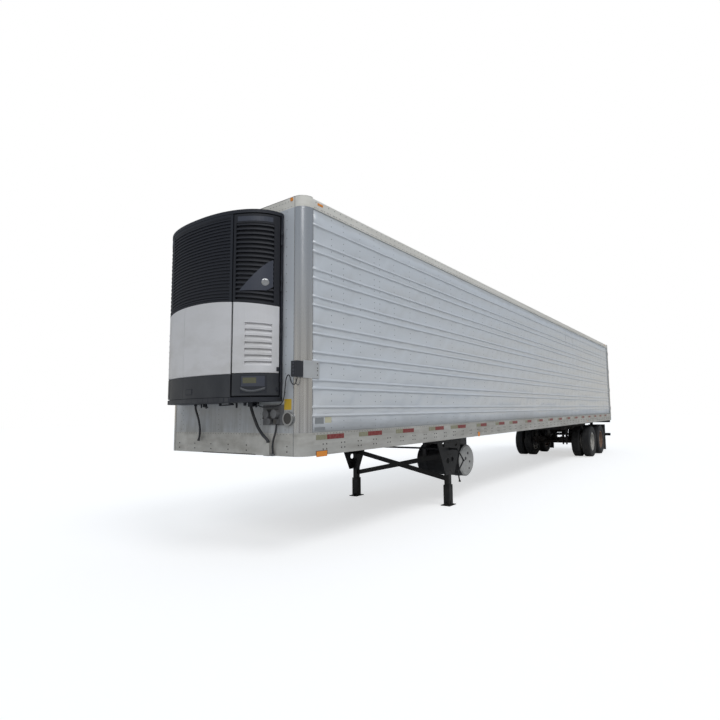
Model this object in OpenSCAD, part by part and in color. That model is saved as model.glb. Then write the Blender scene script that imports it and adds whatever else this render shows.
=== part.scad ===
// Refrigerated van semi trailer, parked on its landing gear.
// Millimetres. +Z up, -Y towards the nose, +X the road side (the trailer's left).
// The origin is on the ground, at mid width and mid overall length.
// Inside each module y runs back from the outer face of the front wall.

/* [Body] */
// Length from the front wall to the rear face of the rear frame
body_len = 16154; // [13400:1:19400]
// Width over the side skins
body_w = 2590; // [2150:1:3110]
// Height of the roof above the ground
roof_z = 4110; // [3900:1:4940]
// Height of the underside of the bottom rails
rail_z = 1140; // [1100:1:1250]
// Height of the bottom rails and of the front sill
rail_h = 255; // [200:1:300]
// Height of the top rails
top_rail_h = 130; // [100:1:160]
// Thickness of the side walls
side_t = 64; // [50:1:90]
// Thickness of the front wall
front_t = 100; // [64:1:150]
// Thickness of the roof panel
roof_t = 76; // [50:1:100]
// Radius of the two nose corners, seen from above
corner_r = 140; // [110:1:200]
// Plate thickness of rails and sills
rail_t = 8; // [5:1:12]
// Depth of the rear frame along the trailer
rear_frame_d = 120; // [100:1:160]

/* [Floor and cross members] */
// Height of a cross member
beam_h = 102; // [76:1:127]
// Width of a cross member's flanges
beam_w = 60; // [45:1:80]
// Spacing of the cross members
beam_pitch = 305; // [254:1:406]

/* [Coupling] */
// Distance from the front wall to the kingpin
pin_setback = 914; // [760:1:1200]
// Thickness of the coupler plate
coupler_t = 20; // [10:1:24]
// Width of the coupler plate
coupler_w = 1020; // [900:1:1300]
// Length of the coupler plate
coupler_len = 1500; // [1300:1:1900]

/* [Landing gear] */
// Distance from the front wall to the legs
leg_y = 3600; // [3200:1:4000]
// Distance of each leg from the centreline
leg_x = 1030; // [900:1:1060]
// Width of a leg's upper tube
leg_w = 90; // [80:1:110]
// Width of a leg's lower tube
sleeve_w = 118; // [112:1:150]
// Height of the top of the lower tube above the ground
sleeve_z = 330; // [280:1:400]
// Length of a foot plate along the trailer
foot_l = 225; // [200:1:300]

/* [Fuel tank] */
// Distance from the front wall to the tank's axis
tank_y = 4300; // [4200:1:4700]
// Radius of the tank
tank_r = 285; // [240:1:300]
// Length of the tank
tank_len = 940; // [800:1:1000]
// Distance from the centreline to the tank's outer end
tank_x = 1050; // [1000:1:1070]
// Height of the tank's axis
tank_z = 695; // [640:1:760]

/* [Axles and wheels] */
// Distance from the rear axle to the rear face
rear_overhang = 1859; // [1500:1:2200]
// Distance between the two axles
axle_pitch = 1245; // [1240:1:1500]
// Radius of a tyre
tyre_r = 500; // [470:1:520]
// Width of a tyre
tyre_w = 280; // [250:1:290]
// Distance between the middles of twin tyres
twin_pitch = 343; // [330:1:350]
// Radius of an axle tube
axle_r = 64; // [55:1:70]
// Radius of an axle's spindle
spindle_r = 45; // [38:1:50]

/* [Sliding bogie] */
// Distance of the slide rails from the centreline
rail_x = 510; // [460:1:540]
// Width of a slide rail
slide_w = 100; // [80:1:120]
// Height of a slide rail
slide_h = 110; // [90:1:125]
// Length of the slide rails
slide_len = 6300; // [5600:1:6500]
// Height of the bogie's side members
bogie_h = 130; // [100:1:150]
// Length of the bogie's side members
bogie_len = 2700; // [2600:1:2800]

/* [Rear doors] */
// Thickness of a rear door
door_t = 90; // [64:1:100]
// Width of a rear post, seen from behind
post_w = 60; // [50:1:70]
// Height of the header above the doors
header_h = 150; // [130:1:220]
// Gap round a door
door_gap = 6; // [5:0.5:9]
// Radius of a hinge knuckle
knuckle_r = 11; // [10:0.5:12]
// Radius of a hinge pin
hinge_pin_r = 6; // [5:0.5:7]
// Radius of a lock rod
rod_r = 14; // [11:1:16]

/* [Refrigeration unit] */
// Half width of the unit
unit_hw = 985; // [900:1:1030]
// Depth of the unit in front of the front wall
unit_d = 490; // [420:1:560]
// Height of the unit's underside
unit_z0 = 1750; // [1700:1:1850]
// Height of the unit's top
unit_z1 = 3930; // [3500:1:3980]
// Thickness of the unit's covers
cover_t = 30; // [20:1:40]
// Half width of the fixed front panel
unit_split = 620; // [560:1:680]

/* [Hidden] */
$fn = 48;

half_w = body_w / 2;
wall_z0 = rail_z + rail_h;              // foot of the walls and top of the floor
wall_z1 = roof_z - top_rail_h;          // head of the walls
beam_z0 = rail_z + rail_t;            // underside of the cross members
beam_z1 = beam_z0 + beam_h;
inner_hw = half_w - side_t;             // half width of the cargo space
dock_out = 75;                          // dock bumpers behind the rear face
axle2_y = body_len - rear_overhang;
axle1_y = axle2_y - axle_pitch;
axle_z = tyre_r;
AXLES = [axle1_y, axle2_y];
SIDES = [1, -1];                        // +1 road side, -1 kerb side
nose_y = -(body_len + dock_out - unit_d) / 2;
eps = 0.01;

module at_nose() { translate([0, nose_y, 0]) children(); }
// A box given by its lowest and highest corners
module block(a, b) {
    translate(a) cube([b[0] - a[0], b[1] - a[1], b[2] - a[2]]);
}
module side(s) { mirror([s < 0 ? 1 : 0, 0, 0]) children(); }
module both_sides() { for (s = SIDES) side(s) children(); }
// A profile in y and z pushed along x from x0 to x1
module along_x(x0, x1) {
    translate([x0, 0, 0]) rotate([90, 0, 90]) linear_extrude(x1 - x0) children();
}
// A profile in x and z pushed along y from y0 to y1
module along_y(y0, y1) {
    translate([0, y1, 0]) rotate([90, 0, 0]) linear_extrude(y1 - y0) children();
}
module rod_x(x0, x1, y, z, r) {
    translate([x0, y, z]) rotate([0, 90, 0]) cylinder(r = r, h = x1 - x0);
}
module rod_y(x, y0, y1, z, r) {
    translate([x, y0, z]) rotate([-90, 0, 0]) cylinder(r = r, h = y1 - y0);
}

// ---------------------------------------------------------------- load space
// Plan of the floor and of the roof, between the walls
module inner_plan() {
    polygon([[-(half_w - corner_r), front_t], [half_w - corner_r, front_t],
             [inner_hw, corner_r], [inner_hw, body_len - rear_frame_d],
             [-inner_hw, body_len - rear_frame_d], [-inner_hw, corner_r]]);
}
module floor_panel() {
    color("silver") at_nose() translate([0, 0, beam_z1])
        linear_extrude(wall_z0 - beam_z1) inner_plan();
}

module wall(s) {
    color("whitesmoke") at_nose() side(s)
        block([inner_hw, corner_r, wall_z0], [half_w, body_len - rear_frame_d, wall_z1]);
}

module front_wall() {
    color("gainsboro") at_nose()
        block([-(half_w - corner_r), 0, wall_z0], [half_w - corner_r, front_t, wall_z1]);
}

// Plan of a nose corner: a quarter ring of the wall's thickness
module corner_plan(r, t) {
    translate([half_w - corner_r, corner_r]) difference() {
        circle(r);
        circle(corner_r - t);
        translate([-2 * r, -2 * r]) square([2 * r, 4 * r]);
        translate([-r, 0]) square([3 * r, 2 * r]);
    }
}
module nose_corners() {
    color("lightgray") at_nose() both_sides()
        translate([0, 0, wall_z0]) linear_extrude(wall_z1 - wall_z0)
            corner_plan(corner_r, side_t);
}

module roof() {
    color("white") at_nose() translate([0, 0, roof_z - roof_t - 4])
        linear_extrude(roof_t) inner_plan();
}

// Top rail: a box section with its outer top edge bevelled
module top_rails() {
    bevel = 25;
    color("silver") at_nose() both_sides() along_y(corner_r, body_len - rear_frame_d)
        polygon([[inner_hw, wall_z1], [half_w, wall_z1], [half_w, roof_z - bevel],
                 [half_w - bevel, roof_z], [inner_hw, roof_z]]);
}

// Plan of the body's nose: a straight front of the given depth between two rounded corners
module nose_plan(depth) {
    translate([-(half_w - corner_r), 0]) square([2 * (half_w - corner_r), depth]);
    for (s = SIDES) mirror([s < 0 ? 1 : 0, 0]) corner_plan(corner_r, side_t);
}
module front_top_rail() {
    color("silver") at_nose()
        translate([0, 0, wall_z1]) linear_extrude(top_rail_h) nose_plan(front_t);
}

// Bottom rail: a deep plate with a lower and an upper flange turned inwards
module bottom_rails() {
    flange = side_t;
    color("silver") at_nose() both_sides() along_y(corner_r, body_len - rear_frame_d)
        polygon([[half_w - flange, rail_z], [half_w, rail_z], [half_w, wall_z0],
                 [half_w - flange, wall_z0], [half_w - flange, wall_z0 - rail_t],
                 [half_w - rail_t, wall_z0 - rail_t], [half_w - rail_t, beam_z0],
                 [half_w - flange, beam_z0]]);
}

module front_sill() {
    color("silver") at_nose() {
        translate([0, 0, rail_z]) linear_extrude(rail_h) nose_plan(rail_t);
        block([-(half_w - corner_r), eps, wall_z0 - rail_t],
              [half_w - corner_r, front_t, wall_z0]);
    }
}

// ------------------------------------------------------------- under the floor
beam_hl = half_w - rail_t;              // half length of a cross member
beam_count = floor((body_len - rear_frame_d - corner_r) / beam_pitch);
module crossmembers() {
    web = 5;
    lip = 6;
    color("dimgray") at_nose() for (i = [0 : beam_count - 1])
        translate([0, corner_r + beam_w + i * beam_pitch, 0]) along_x(-beam_hl, beam_hl)
            polygon([[-beam_w / 2, beam_z0], [beam_w / 2, beam_z0],
                     [beam_w / 2, beam_z0 + lip], [web / 2, beam_z0 + lip],
                     [web / 2, beam_z1 - lip], [beam_w / 2, beam_z1 - lip],
                     [beam_w / 2, beam_z1], [-beam_w / 2, beam_z1],
                     [-beam_w / 2, beam_z1 - lip], [-web / 2, beam_z1 - lip],
                     [-web / 2, beam_z0 + lip], [-beam_w / 2, beam_z0 + lip]]);
}

coupler_y0 = 60;
coupler_z = beam_z0 - coupler_t;        // underside of the coupler plate
module coupler_plate() {
    ramp = 180;                         // length of the turned-up front lip
    color("darkslategray") at_nose() difference() {
        union() {
            block([-coupler_w / 2, coupler_y0 + ramp, coupler_z],
                  [coupler_w / 2, coupler_y0 + coupler_len, beam_z0]);
            along_x(-coupler_w / 2, coupler_w / 2)
                polygon([[coupler_y0, beam_z0 - 6], [coupler_y0, beam_z0],
                         [coupler_y0 + ramp + 1, beam_z0],
                         [coupler_y0 + ramp + 1, coupler_z], [coupler_y0 + ramp, coupler_z]]);
        }
        translate([0, pin_setback, coupler_z - 1]) cylinder(r = collar_r, h = coupler_t + 2);
    }
}
// Two-inch kingpin: collar, neck and head
collar_r = 37;
neck_r = 25.4;
head_r = 35.7;
head_h = 18;
neck_h = 35;
collar_h = 31;
module kingpin() {
    color("slategray") at_nose() translate([0, pin_setback, 0]) {
        translate([0, 0, coupler_z - collar_h]) cylinder(r = collar_r, h = collar_h + coupler_t);
        translate([0, 0, coupler_z - collar_h - neck_h - eps])
            cylinder(r = neck_r, h = neck_h + 2 * eps);
        translate([0, 0, coupler_z - collar_h - neck_h - head_h])
            cylinder(r = head_r, h = head_h);
    }
}

// --------------------------------------------------------------- landing gear
module landing_legs() {
    color("black") at_nose() both_sides()
        block([leg_x - leg_w / 2, leg_y - leg_w / 2, sleeve_z],
              [leg_x + leg_w / 2, leg_y + leg_w / 2, beam_z0]);
}
foot_t = 12;
module landing_feet() {
    rib = 60;
    color("black") at_nose() both_sides() {
        block([leg_x - sleeve_w / 2, leg_y - sleeve_w / 2, foot_t - eps],
              [leg_x + sleeve_w / 2, leg_y + sleeve_w / 2, sleeve_z]);
        block([leg_x - foot_l * 0.4, leg_y - foot_l / 2, 0],
              [leg_x + foot_l * 0.4, leg_y + foot_l / 2, foot_t]);
        translate([leg_x, 0, 0]) along_x(-6, 6)
            polygon([[leg_y - foot_l / 2 + 8, foot_t - eps], [leg_y + foot_l / 2 - 8, foot_t - eps],
                     [leg_y + sleeve_w / 2, foot_t + rib], [leg_y - sleeve_w / 2, foot_t + rib]]);
    }
}
wing_top_w = 860;
wing_bot_w = 300;
wing_z = 520;                           // foot of the wing plates
wing_t = 8;
wing_x = leg_x + leg_w / 2;             // the plates lie on the legs' outer faces
shaft_z = 955;                          // height of the cross shaft and of the crank
shaft_r = 16;
module landing_wing_plates() {
    HOLES = [[-215, 1040, 38], [215, 1020, 34], [-75, 760, 46], [80, 775, 42]];
    color("black") at_nose() both_sides() difference() {
        union() {
            along_x(wing_x, wing_x + wing_t)
                polygon([[leg_y - wing_bot_w / 2, wing_z], [leg_y + wing_bot_w / 2, wing_z],
                         [leg_y + wing_top_w / 2, beam_z0 - 40],
                         [leg_y + wing_top_w / 2, beam_z0],
                         [leg_y - wing_top_w / 2, beam_z0],
                         [leg_y - wing_top_w / 2, beam_z0 - 40]]);
            // flange along the cross members
            block([wing_x - 60, leg_y + leg_w / 2, beam_z0 - wing_t],
                  [wing_x + eps, leg_y + wing_top_w / 2, beam_z0]);
            block([wing_x - 60, leg_y - wing_top_w / 2, beam_z0 - wing_t],
                  [wing_x + eps, leg_y - leg_w / 2, beam_z0]);
        }
        for (h = HOLES) rod_x(wing_x - 1, wing_x + wing_t + 1, leg_y + h[0], h[1], h[2]);
        rod_x(wing_x - 1, wing_x + wing_t + 1, leg_y, shaft_z, shaft_r + 4);
    }
}
brace_z1 = 845;
brace_z0 = 450;
module landing_brace() {
    bar = 84;
    reach = leg_x - leg_w / 2;
    ang = atan2(brace_z1 - brace_z0, 2 * reach);
    color("black") at_nose() intersection() {
        translate([0, leg_y, (brace_z0 + brace_z1) / 2]) for (a = [ang, -ang])
            rotate([0, a, 0]) cube([2.4 * reach, 10, bar], center = true);
        block([-reach, leg_y - 20, 0], [reach, leg_y + 20, beam_z0]);
    }
}
crank_x = half_w - 62;                  // plane in which the crank hangs
// Bends of the crank, back and down from the shaft
BENDS = [[0, 0], [215, -210], [0, -385], [55, -545]];
module landing_crank() {
    r = 12;
    knuckle = [15, 30];                 // radius and length of the bosses at the bends
    gear = 120;                         // gearbox on the inner face of the road side leg
    color("black") at_nose() {
        rod_x(-(leg_x - leg_w / 2), leg_x - leg_w / 2, leg_y, shaft_z, shaft_r);
        rod_x(wing_x, crank_x, leg_y, shaft_z, shaft_r);
        for (i = [0 : len(BENDS) - 2]) {
            step = BENDS[i + 1] - BENDS[i];
            translate([crank_x, leg_y + BENDS[i][0], shaft_z + BENDS[i][1]])
                rotate([atan2(-step[0], step[1]), 0, 0]) cylinder(r = r, h = norm(step));
        }
        for (b = BENDS)
            rod_x(crank_x - knuckle[1] / 2, crank_x + knuckle[1] / 2,
                  leg_y + b[0], shaft_z + b[1], knuckle[0] + (b[0] == 0 && b[1] == 0 ? 6 : 0));
        block([leg_x - (leg_w + gear) / 2, leg_y - gear / 2, shaft_z - gear / 2],
              [leg_x - leg_w / 2, leg_y + gear / 2, shaft_z + gear / 2]);
    }
}

// ------------------------------------------------------------------ fuel tank
module fuel_tank() {
    dish = 25;
    color("lightgray") at_nose() {
        rod_x(tank_x - tank_len + dish, tank_x - dish, tank_y, tank_z, tank_r);
        for (e = [[tank_x - dish, 0], [tank_x - tank_len + dish, 180]])
            translate([e[0], tank_y, tank_z]) rotate([0, 90 - e[1], 0])
                cylinder(r1 = tank_r, r2 = tank_r - dish, h = dish);
        // filler neck on the road side
        translate([tank_x - 85, tank_y - tank_r * 0.7, tank_z + tank_r * 0.5])
            cylinder(r = 42, h = tank_r * 0.4);
    }
}
STRAPS = [0.2, 0.8];                    // places along the tank, as shares of its length
strap_t = 6;
strap_w = 70;
module tank_straps() {
    color("dimgray") at_nose() for (p = STRAPS) {
        x0 = tank_x - tank_len * p - strap_w / 2;
        difference() {
            union() {
                rod_x(x0, x0 + strap_w, tank_y, tank_z, tank_r + strap_t);
                block([x0, tank_y - tank_r - strap_t, tank_z],
                      [x0 + strap_w, tank_y + tank_r + strap_t, beam_z0]);
            }
            rod_x(x0 - 1, x0 + strap_w + 1, tank_y, tank_z, tank_r);
            block([x0 + 8, tank_y - tank_r, tank_z + tank_r + 30],
                  [x0 + strap_w - 8, tank_y + tank_r, beam_z0 + 1]);
        }
    }
}

// -------------------------------------------------------------- nose fittings
panel_x = 825;                          // middle of the air coupling panel
panel_z = 1600;
junction = [905, -28, 1500];            // foot of the junction box, where the supply line leaves
sill_clip = [842, -20, 1165];           // top of the clip where it passes the sill
cover = [760, -24, 1285];               // top of the cover that takes the air lines
module air_coupling_panel() {
    plate = [350, 230];
    port = [1080, 1558];
    color("gray") at_nose() {
        block([panel_x - plate[0] / 2, -6, panel_z - plate[1] / 2],
              [panel_x + plate[0] / 2, 0, panel_z + plate[1] / 2]);
        for (g = [-70, 65]) rod_y(panel_x + g, -62, -6 + eps, panel_z + 12, 50);
        rod_y(panel_x - 30, -50, -6 + eps, panel_z - 70, 32);
        block([junction[0] - 26, -50, junction[2]], [junction[0] + 26, -6 + eps, 1555]);
        block([sill_clip[0] - 18, -40, rail_z], [sill_clip[0] + 18, 0, sill_clip[2]]);
        block([cover[0] - 45, -48, rail_z], [cover[0] + 45, 0, cover[2]]);
        // round port with its rim
        difference() {
            rod_y(port[0], -22, 0, port[1], 62);
            rod_y(port[0], -23, -6, port[1], 48);
        }
    }
}
box_z = 2100;                           // middle of the status lamp box
box_h = 175;
module status_box() {
    plate_t = 5;
    depth = 95;                         // the box stands ahead of the nose corner
    color("black") at_nose() {
        block([half_w - 90, -depth, box_z - box_h / 2], [half_w + eps, 5, box_z + box_h / 2]);
        block([half_w, -depth, box_z - 100], [half_w + plate_t, corner_r + 105, box_z + 100]);
    }
}

// -------------------------------------------------------- refrigeration unit
unit_gap = 62;                          // the doors' rear edges stand this far off the wall
plan_n = 2.3;                           // squareness of the plan, 2 is an ellipse
unit_hinge_x = unit_hw + 8;
unit_hinge_y = -52;
function plan_pt(t, hw, d) = [hw * sign(cos(t)) * pow(abs(cos(t)), 2 / plan_n),
                              -d * pow(abs(sin(t)), 2 / plan_n)];
function plan_angle_x(x, hw) = acos(pow(x / hw, plan_n / 2));
function plan_angle_y(y, d) = asin(pow(y / d, plan_n / 2));
unit_a0 = plan_angle_y(unit_gap, unit_d);
unit_a1 = plan_angle_x(unit_split, unit_hw);
// A stretch of the unit's skin between two plan angles
module skin_plan(a, b, t, n) {
    polygon(concat([for (i = [0 : n]) plan_pt(a + (b - a) * i / n, unit_hw, unit_d)],
                   [for (i = [n : -1 : 0])
                        plan_pt(a + (b - a) * i / n, unit_hw - t, unit_d - t)]));
}
module cap_plan() {
    n = 36;
    a0 = plan_angle_y(45, unit_d);
    polygon(concat([for (i = [0 : n]) plan_pt(a0 + (180 - 2 * a0) * i / n, unit_hw, unit_d)],
                   [[-unit_hw * 0.98, -1 + eps], [unit_hw * 0.98, -1 + eps]]));
}
unit_hinges = [0.12, 0.36, 0.62, 0.88]; // heights of the door hinges, as shares of the door
door_z0 = unit_z0 + 60;                 // foot of the unit's doors
door_z1 = unit_z1 - 50;
knuckle_h = 60;
gland_h = 20;
// Outlets under the unit: x, y, radius
GLANDS = [[-560, -90, 19], [540, -90, 24], [640, -70, 12]];
module unit_frame() {
    back_t = 44;
    color("dimgray") at_nose() {
        // back frame against the front wall
        block([-unit_hw + 60, -back_t, unit_z0], [unit_hw - 60, 0, unit_z1]);
        // top cap and bottom pan
        translate([0, 0, unit_z1 - 40]) linear_extrude(40) cap_plan();
        translate([0, 0, unit_z0]) linear_extrude(50) cap_plan();
        // outlets of the hoses and of the status cable
        for (g = GLANDS) translate([g[0], g[1], unit_z0 - gland_h])
            cylinder(r = g[2], h = gland_h + eps);
        // hinge posts with their pins
        both_sides() {
            block([unit_hw - 90, -back_t, unit_z0 + eps], [unit_hw - 6, -16, unit_z1 - eps]);
            for (h = unit_hinges) {
                z = door_z0 + (door_z1 - door_z0) * h;
                for (k = [-1, 1]) translate([0, 0, z + k * (knuckle_h + 2)]) {
                    translate([unit_hinge_x, unit_hinge_y, -knuckle_h / 2])
                        cylinder(r = 9, h = knuckle_h);
                    block([unit_hw - 10, unit_hinge_y, -knuckle_h / 2],
                          [unit_hinge_x, -30, knuckle_h / 2]);
                }
                translate([unit_hinge_x, unit_hinge_y, z - knuckle_h])
                    cylinder(r = 4, h = 2 * knuckle_h);
            }
        }
    }
}
module unit_front_panel() {
    gap_a = 0.35;                       // plan angle of the gap beside each door
    color("navy") at_nose() translate([0, 0, unit_z0 + 50])
        linear_extrude(unit_z1 - unit_z0 - 90)
            skin_plan(unit_a1 + gap_a, 180 - unit_a1 - gap_a, cover_t, 30);
}
module unit_engine() {
    color("gray") at_nose()
        block([-560, -340, unit_z0 + 50], [480, -44, unit_z0 + 800]);
}
module unit_door(s) {
    color("white") at_nose() side(s) {
        difference() {
            union() {
                translate([0, 0, door_z0]) linear_extrude(door_z1 - door_z0)
                    skin_plan(unit_a0, unit_a1 - 0.35, cover_t, 16);
                for (h = unit_hinges) {
                    z = door_z0 + (door_z1 - door_z0) * h;
                    translate([unit_hinge_x, unit_hinge_y, z - knuckle_h / 2])
                        cylinder(r = 9, h = knuckle_h);
                    block([unit_hw - 16, unit_hinge_y - 36, z - knuckle_h / 2],
                          [unit_hinge_x - 2, unit_hinge_y, z + knuckle_h / 2]);
                }
            }
            for (h = unit_hinges) {
                z = door_z0 + (door_z1 - door_z0) * h;
                translate([unit_hinge_x, unit_hinge_y, z - knuckle_h])
                    cylinder(r = 4.1, h = 2 * knuckle_h);
            }
        }
    }
}

// ----------------------------------------------------------------- rear frame
header_z = roof_z - header_h;
sill_top = wall_z0;
module rear_frame() {
    color("lightgray") at_nose() difference() {
        block([-half_w, body_len - rear_frame_d, rail_z], [half_w, body_len, roof_z]);
        block([-(half_w - post_w), body_len - rear_frame_d - 1, sill_top],
              [half_w - post_w, body_len + 1, header_z]);
    }
}
door_z_lo = sill_top + door_gap;
door_z_hi = header_z - door_gap;
door_h = door_z_hi - door_z_lo;
hinge_x = half_w - 6;                   // vertical hinge axis, at the post's outer edge
hinge_y = body_len + 32;
HINGES = [0.08, 0.36, 0.64, 0.92];      // hinge heights, as shares of the door
leaf_h = 60;                            // height of a hinge's moving knuckle
ear_h = 26;                             // height of each fixed knuckle
function hinge_z(h) = door_z_lo + door_h * h;
module hinge_brackets() {
    color("silver") at_nose() both_sides() for (h = HINGES) translate([0, 0, hinge_z(h)]) {
        for (k = [-1, 1]) translate([0, 0, k * (leaf_h / 2 + 1 + ear_h / 2)]) {
            translate([hinge_x, hinge_y, -ear_h / 2]) cylinder(r = knuckle_r, h = ear_h);
            block([hinge_x - 10, body_len + 5, -ear_h / 2], [hinge_x + 4, hinge_y, ear_h / 2]);
        }
        // plate on the post that both ears stand on
        block([half_w - post_w + 2, body_len, -leaf_h / 2 - 1 - ear_h],
              [half_w, body_len + 5 + eps, leaf_h / 2 + 1 + ear_h]);
        translate([hinge_x, hinge_y, -leaf_h / 2 - ear_h])
            cylinder(r = hinge_pin_r, h = leaf_h + 2 * ear_h);
    }
}
meet_gap = 6;                           // half of the gap between the two doors
module door(s) {
    strap_l = 300;
    color("white") at_nose() side(s) {
        block([meet_gap, body_len - door_t, door_z_lo],
              [half_w - post_w - door_gap, body_len, door_z_hi]);
        for (h = HINGES) translate([0, 0, hinge_z(h)]) difference() {
            union() {
                translate([0, 0, -leaf_h / 2]) linear_extrude(leaf_h)
                    polygon([[hinge_x - strap_l, body_len - eps],
                             [half_w - post_w - door_gap, body_len - eps],
                             [half_w - post_w - door_gap, body_len + 12],
                             [hinge_x, hinge_y - 10], [hinge_x, hinge_y + 4],
                             [half_w - post_w - door_gap - 20, body_len + 24],
                             [half_w - post_w - door_gap - 40, body_len + 10],
                             [hinge_x - strap_l, body_len + 10]]);
                translate([hinge_x, hinge_y, -leaf_h / 2])
                    cylinder(r = knuckle_r, h = leaf_h);
            }
            translate([hinge_x, hinge_y, -leaf_h]) cylinder(r = hinge_pin_r + 0.1, h = 2 * leaf_h);
        }
    }
}
ROD_X = [330, 900];                     // distance of each lock rod from the centreline
rod_off = 30;                           // rod axis behind the door's face
GUIDES = [0.12, 0.38, 0.62, 0.88];
module lock_rods(s) {
    color("silver") at_nose() side(s) for (x = ROD_X) {
        translate([x, body_len + rod_off, door_z_lo - 40])
            cylinder(r = rod_r, h = door_h + 80);
        for (g = GUIDES) {
            z = door_z_lo + door_h * g;
            block([x - 45, body_len, z - 25], [x + 45, body_len + 8, z + 25]);
            block([x - rod_r - 4, body_len + 8 - eps, z - 25],
                  [x + rod_r + 4, body_len + rod_off, z + 25]);
        }
        // cams at both ends
        for (z = [door_z_lo - 40, door_z_hi + 10])
            block([x - 22, body_len + 10, z], [x + 22, body_len + rod_off, z + 30]);
        // folded handle
        block([x - 260, body_len + rod_off - 6, door_z_lo + 620],
              [x, body_len + rod_off + 6, door_z_lo + 650]);
        block([x - 250, body_len, door_z_lo + 610],
              [x - 215, body_len + rod_off - 6 + eps, door_z_lo + 660]);
    }
}
module door_keepers() {
    wall_k = 10;
    color("silver") at_nose() both_sides() for (x = ROD_X)
        for (z = [door_z_lo - 58, door_z_hi + 8]) {
            for (k = [-1, 1]) block([x + k * 34 - wall_k / 2, body_len, z],
                                    [x + k * 34 + wall_k / 2, body_len + 40, z + 50]);
            block([x - 39, body_len, z], [x + 39, body_len + 4, z + 50]);
        }
}
module dock_bumpers() {
    color("black") at_nose() both_sides()
        block([half_w - 330, body_len, rail_z + 60],
              [half_w - 110, body_len + dock_out, rail_z + 190]);
}
guard_z = 590;                          // middle of the rear guard's bar
module underride_guard() {
    bar_h = 98;
    bar_d = 90;
    y1 = body_len - 20;
    color("dimgray") at_nose() {
        block([-half_w + 50, y1 - bar_d, guard_z - bar_h / 2],
              [half_w - 50, y1, guard_z + bar_h / 2]);
        both_sides() block([500, y1 - bar_d, guard_z], [600, y1 - 10, rail_z]);
        // cross beam under the rear sill
        block([-(half_w - 40), y1 - bar_d, rail_z - 85], [half_w - 40, y1, rail_z]);
    }
}

// -------------------------------------------------------------- sliding bogie
slide_y1 = body_len - rear_frame_d - 120;
slide_z = beam_z0 - slide_h;            // underside of the slide rails
pad_gap = 0.5;                          // running clearance under the slide rails
module slide_rails() {
    nose = 400;                         // length of the rails' tapered front ends
    color("dimgray") at_nose() both_sides()
        along_x(rail_x - slide_w / 2, rail_x + slide_w / 2)
            polygon([[slide_y1 - slide_len, beam_z0 - 40], [slide_y1 - slide_len + nose, slide_z],
                     [slide_y1, slide_z], [slide_y1, beam_z0], [slide_y1 - slide_len, beam_z0]]);
}
bogie_z1 = slide_z - pad_gap;
bogie_z0 = bogie_z1 - bogie_h;
bogie_y0 = axle1_y - 750;
bogie_y1 = bogie_y0 + bogie_len;
arm_z0 = axle_z + axle_r;               // the arms lie on the axles
arm_h = 120;
pivot_dy = -560;                        // arm pivot, from its axle
pivot_z = arm_z0 + 45;
pivot_r = 20;
spring_dy = 330;                        // air spring, from its axle
spring_r = 125;
seat_z = arm_z0 + 60;                   // top of the arms' spring seats
module bogie_frame() {
    cross = [100, 110];
    color("dimgray") at_nose() {
        both_sides() {
            block([rail_x - slide_w / 2 - 10, bogie_y0, bogie_z0],
                  [rail_x + slide_w / 2 + 10, bogie_y1, bogie_z1]);
            // hangers: two cheek plates with the arm between them
            for (y = AXLES) for (c = [-1, 1])
                along_x(rail_x + c * 58 - 6, rail_x + c * 58 + 6)
                    polygon([[y + pivot_dy - 130, bogie_z0 + eps],
                             [y + pivot_dy - 110, arm_z0 - 60],
                             [y + pivot_dy - 60, arm_z0 - 140],
                             [y + pivot_dy + 60, arm_z0 - 140],
                             [y + pivot_dy + 150, bogie_z0 + eps]]);
            for (y = AXLES) rod_x(rail_x - 60, rail_x + 60, y + pivot_dy, pivot_z, pivot_r);
        }
        for (y = [bogie_y0 + 60, axle1_y + 60, axle2_y - 60, bogie_y1 - 160])
            block([-rail_x, y, bogie_z0 + 10], [rail_x, y + cross[0], bogie_z0 + 10 + cross[1]]);
    }
}
module suspension_arms() {
    color("black") at_nose() both_sides() for (y = AXLES) difference() {
        union() {
            along_x(rail_x - 45, rail_x + 45)
                polygon([[y + pivot_dy - 60, arm_z0 + 10], [y + pivot_dy + 60, arm_z0],
                         [y + spring_dy + 110, arm_z0], [y + spring_dy + 110, seat_z],
                         [y + spring_dy - spring_r, seat_z], [y + 110, arm_z0 + arm_h],
                         [y - 120, arm_z0 + arm_h],
                         [y + pivot_dy + 40, arm_z0 + 90], [y + pivot_dy - 60, arm_z0 + 90]]);
            block([rail_x - 45, y - 85, axle_z], [rail_x + 45, y + 85, arm_z0 + eps]);
        }
        rod_x(rail_x - 46, rail_x + 46, y, axle_z, axle_r);
        rod_x(rail_x - 46, rail_x + 46, y + pivot_dy, pivot_z, pivot_r);
    }
}
module air_springs() {
    r = spring_r;
    h = bogie_z0 - seat_z;
    color("black") at_nose() both_sides() for (y = AXLES)
        translate([rail_x, y + spring_dy, seat_z]) {
            rotate_extrude() polygon([[0, 0], [r - 45, 0], [r - 35, h * 0.35], [r, h * 0.45],
                                      [r, h * 0.85], [r - 20, h], [0, h]]);
        }
}
hub_x = half_w - tyre_w / 2 - twin_pitch / 2;   // plane between twin tyres
module axles() {
    tube = hub_x - 130;                 // half length of the thick tube
    color("dimgray") at_nose() for (y = AXLES) {
        rod_x(-tube, tube, y, axle_z, axle_r);
        rod_x(-(hub_x + 205), hub_x + 205, y, axle_z, spindle_r);
        // brake spiders inside the drums
        both_sides() rod_x(hub_x - 270, hub_x - 255, y, axle_z, 175);
    }
}
module brake_chambers() {
    r = 82;
    color("black") at_nose() both_sides() for (y = AXLES) {
        rod_y(330, y - 330, y - 130, axle_z + 95, r);
        difference() {
            block([300, y - 131, axle_z + 30], [360, y, axle_z + 120]);
            rod_x(299, 361, y, axle_z, axle_r);
        }
    }
}
flap_w = 600;
flap_z0 = 90;
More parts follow.
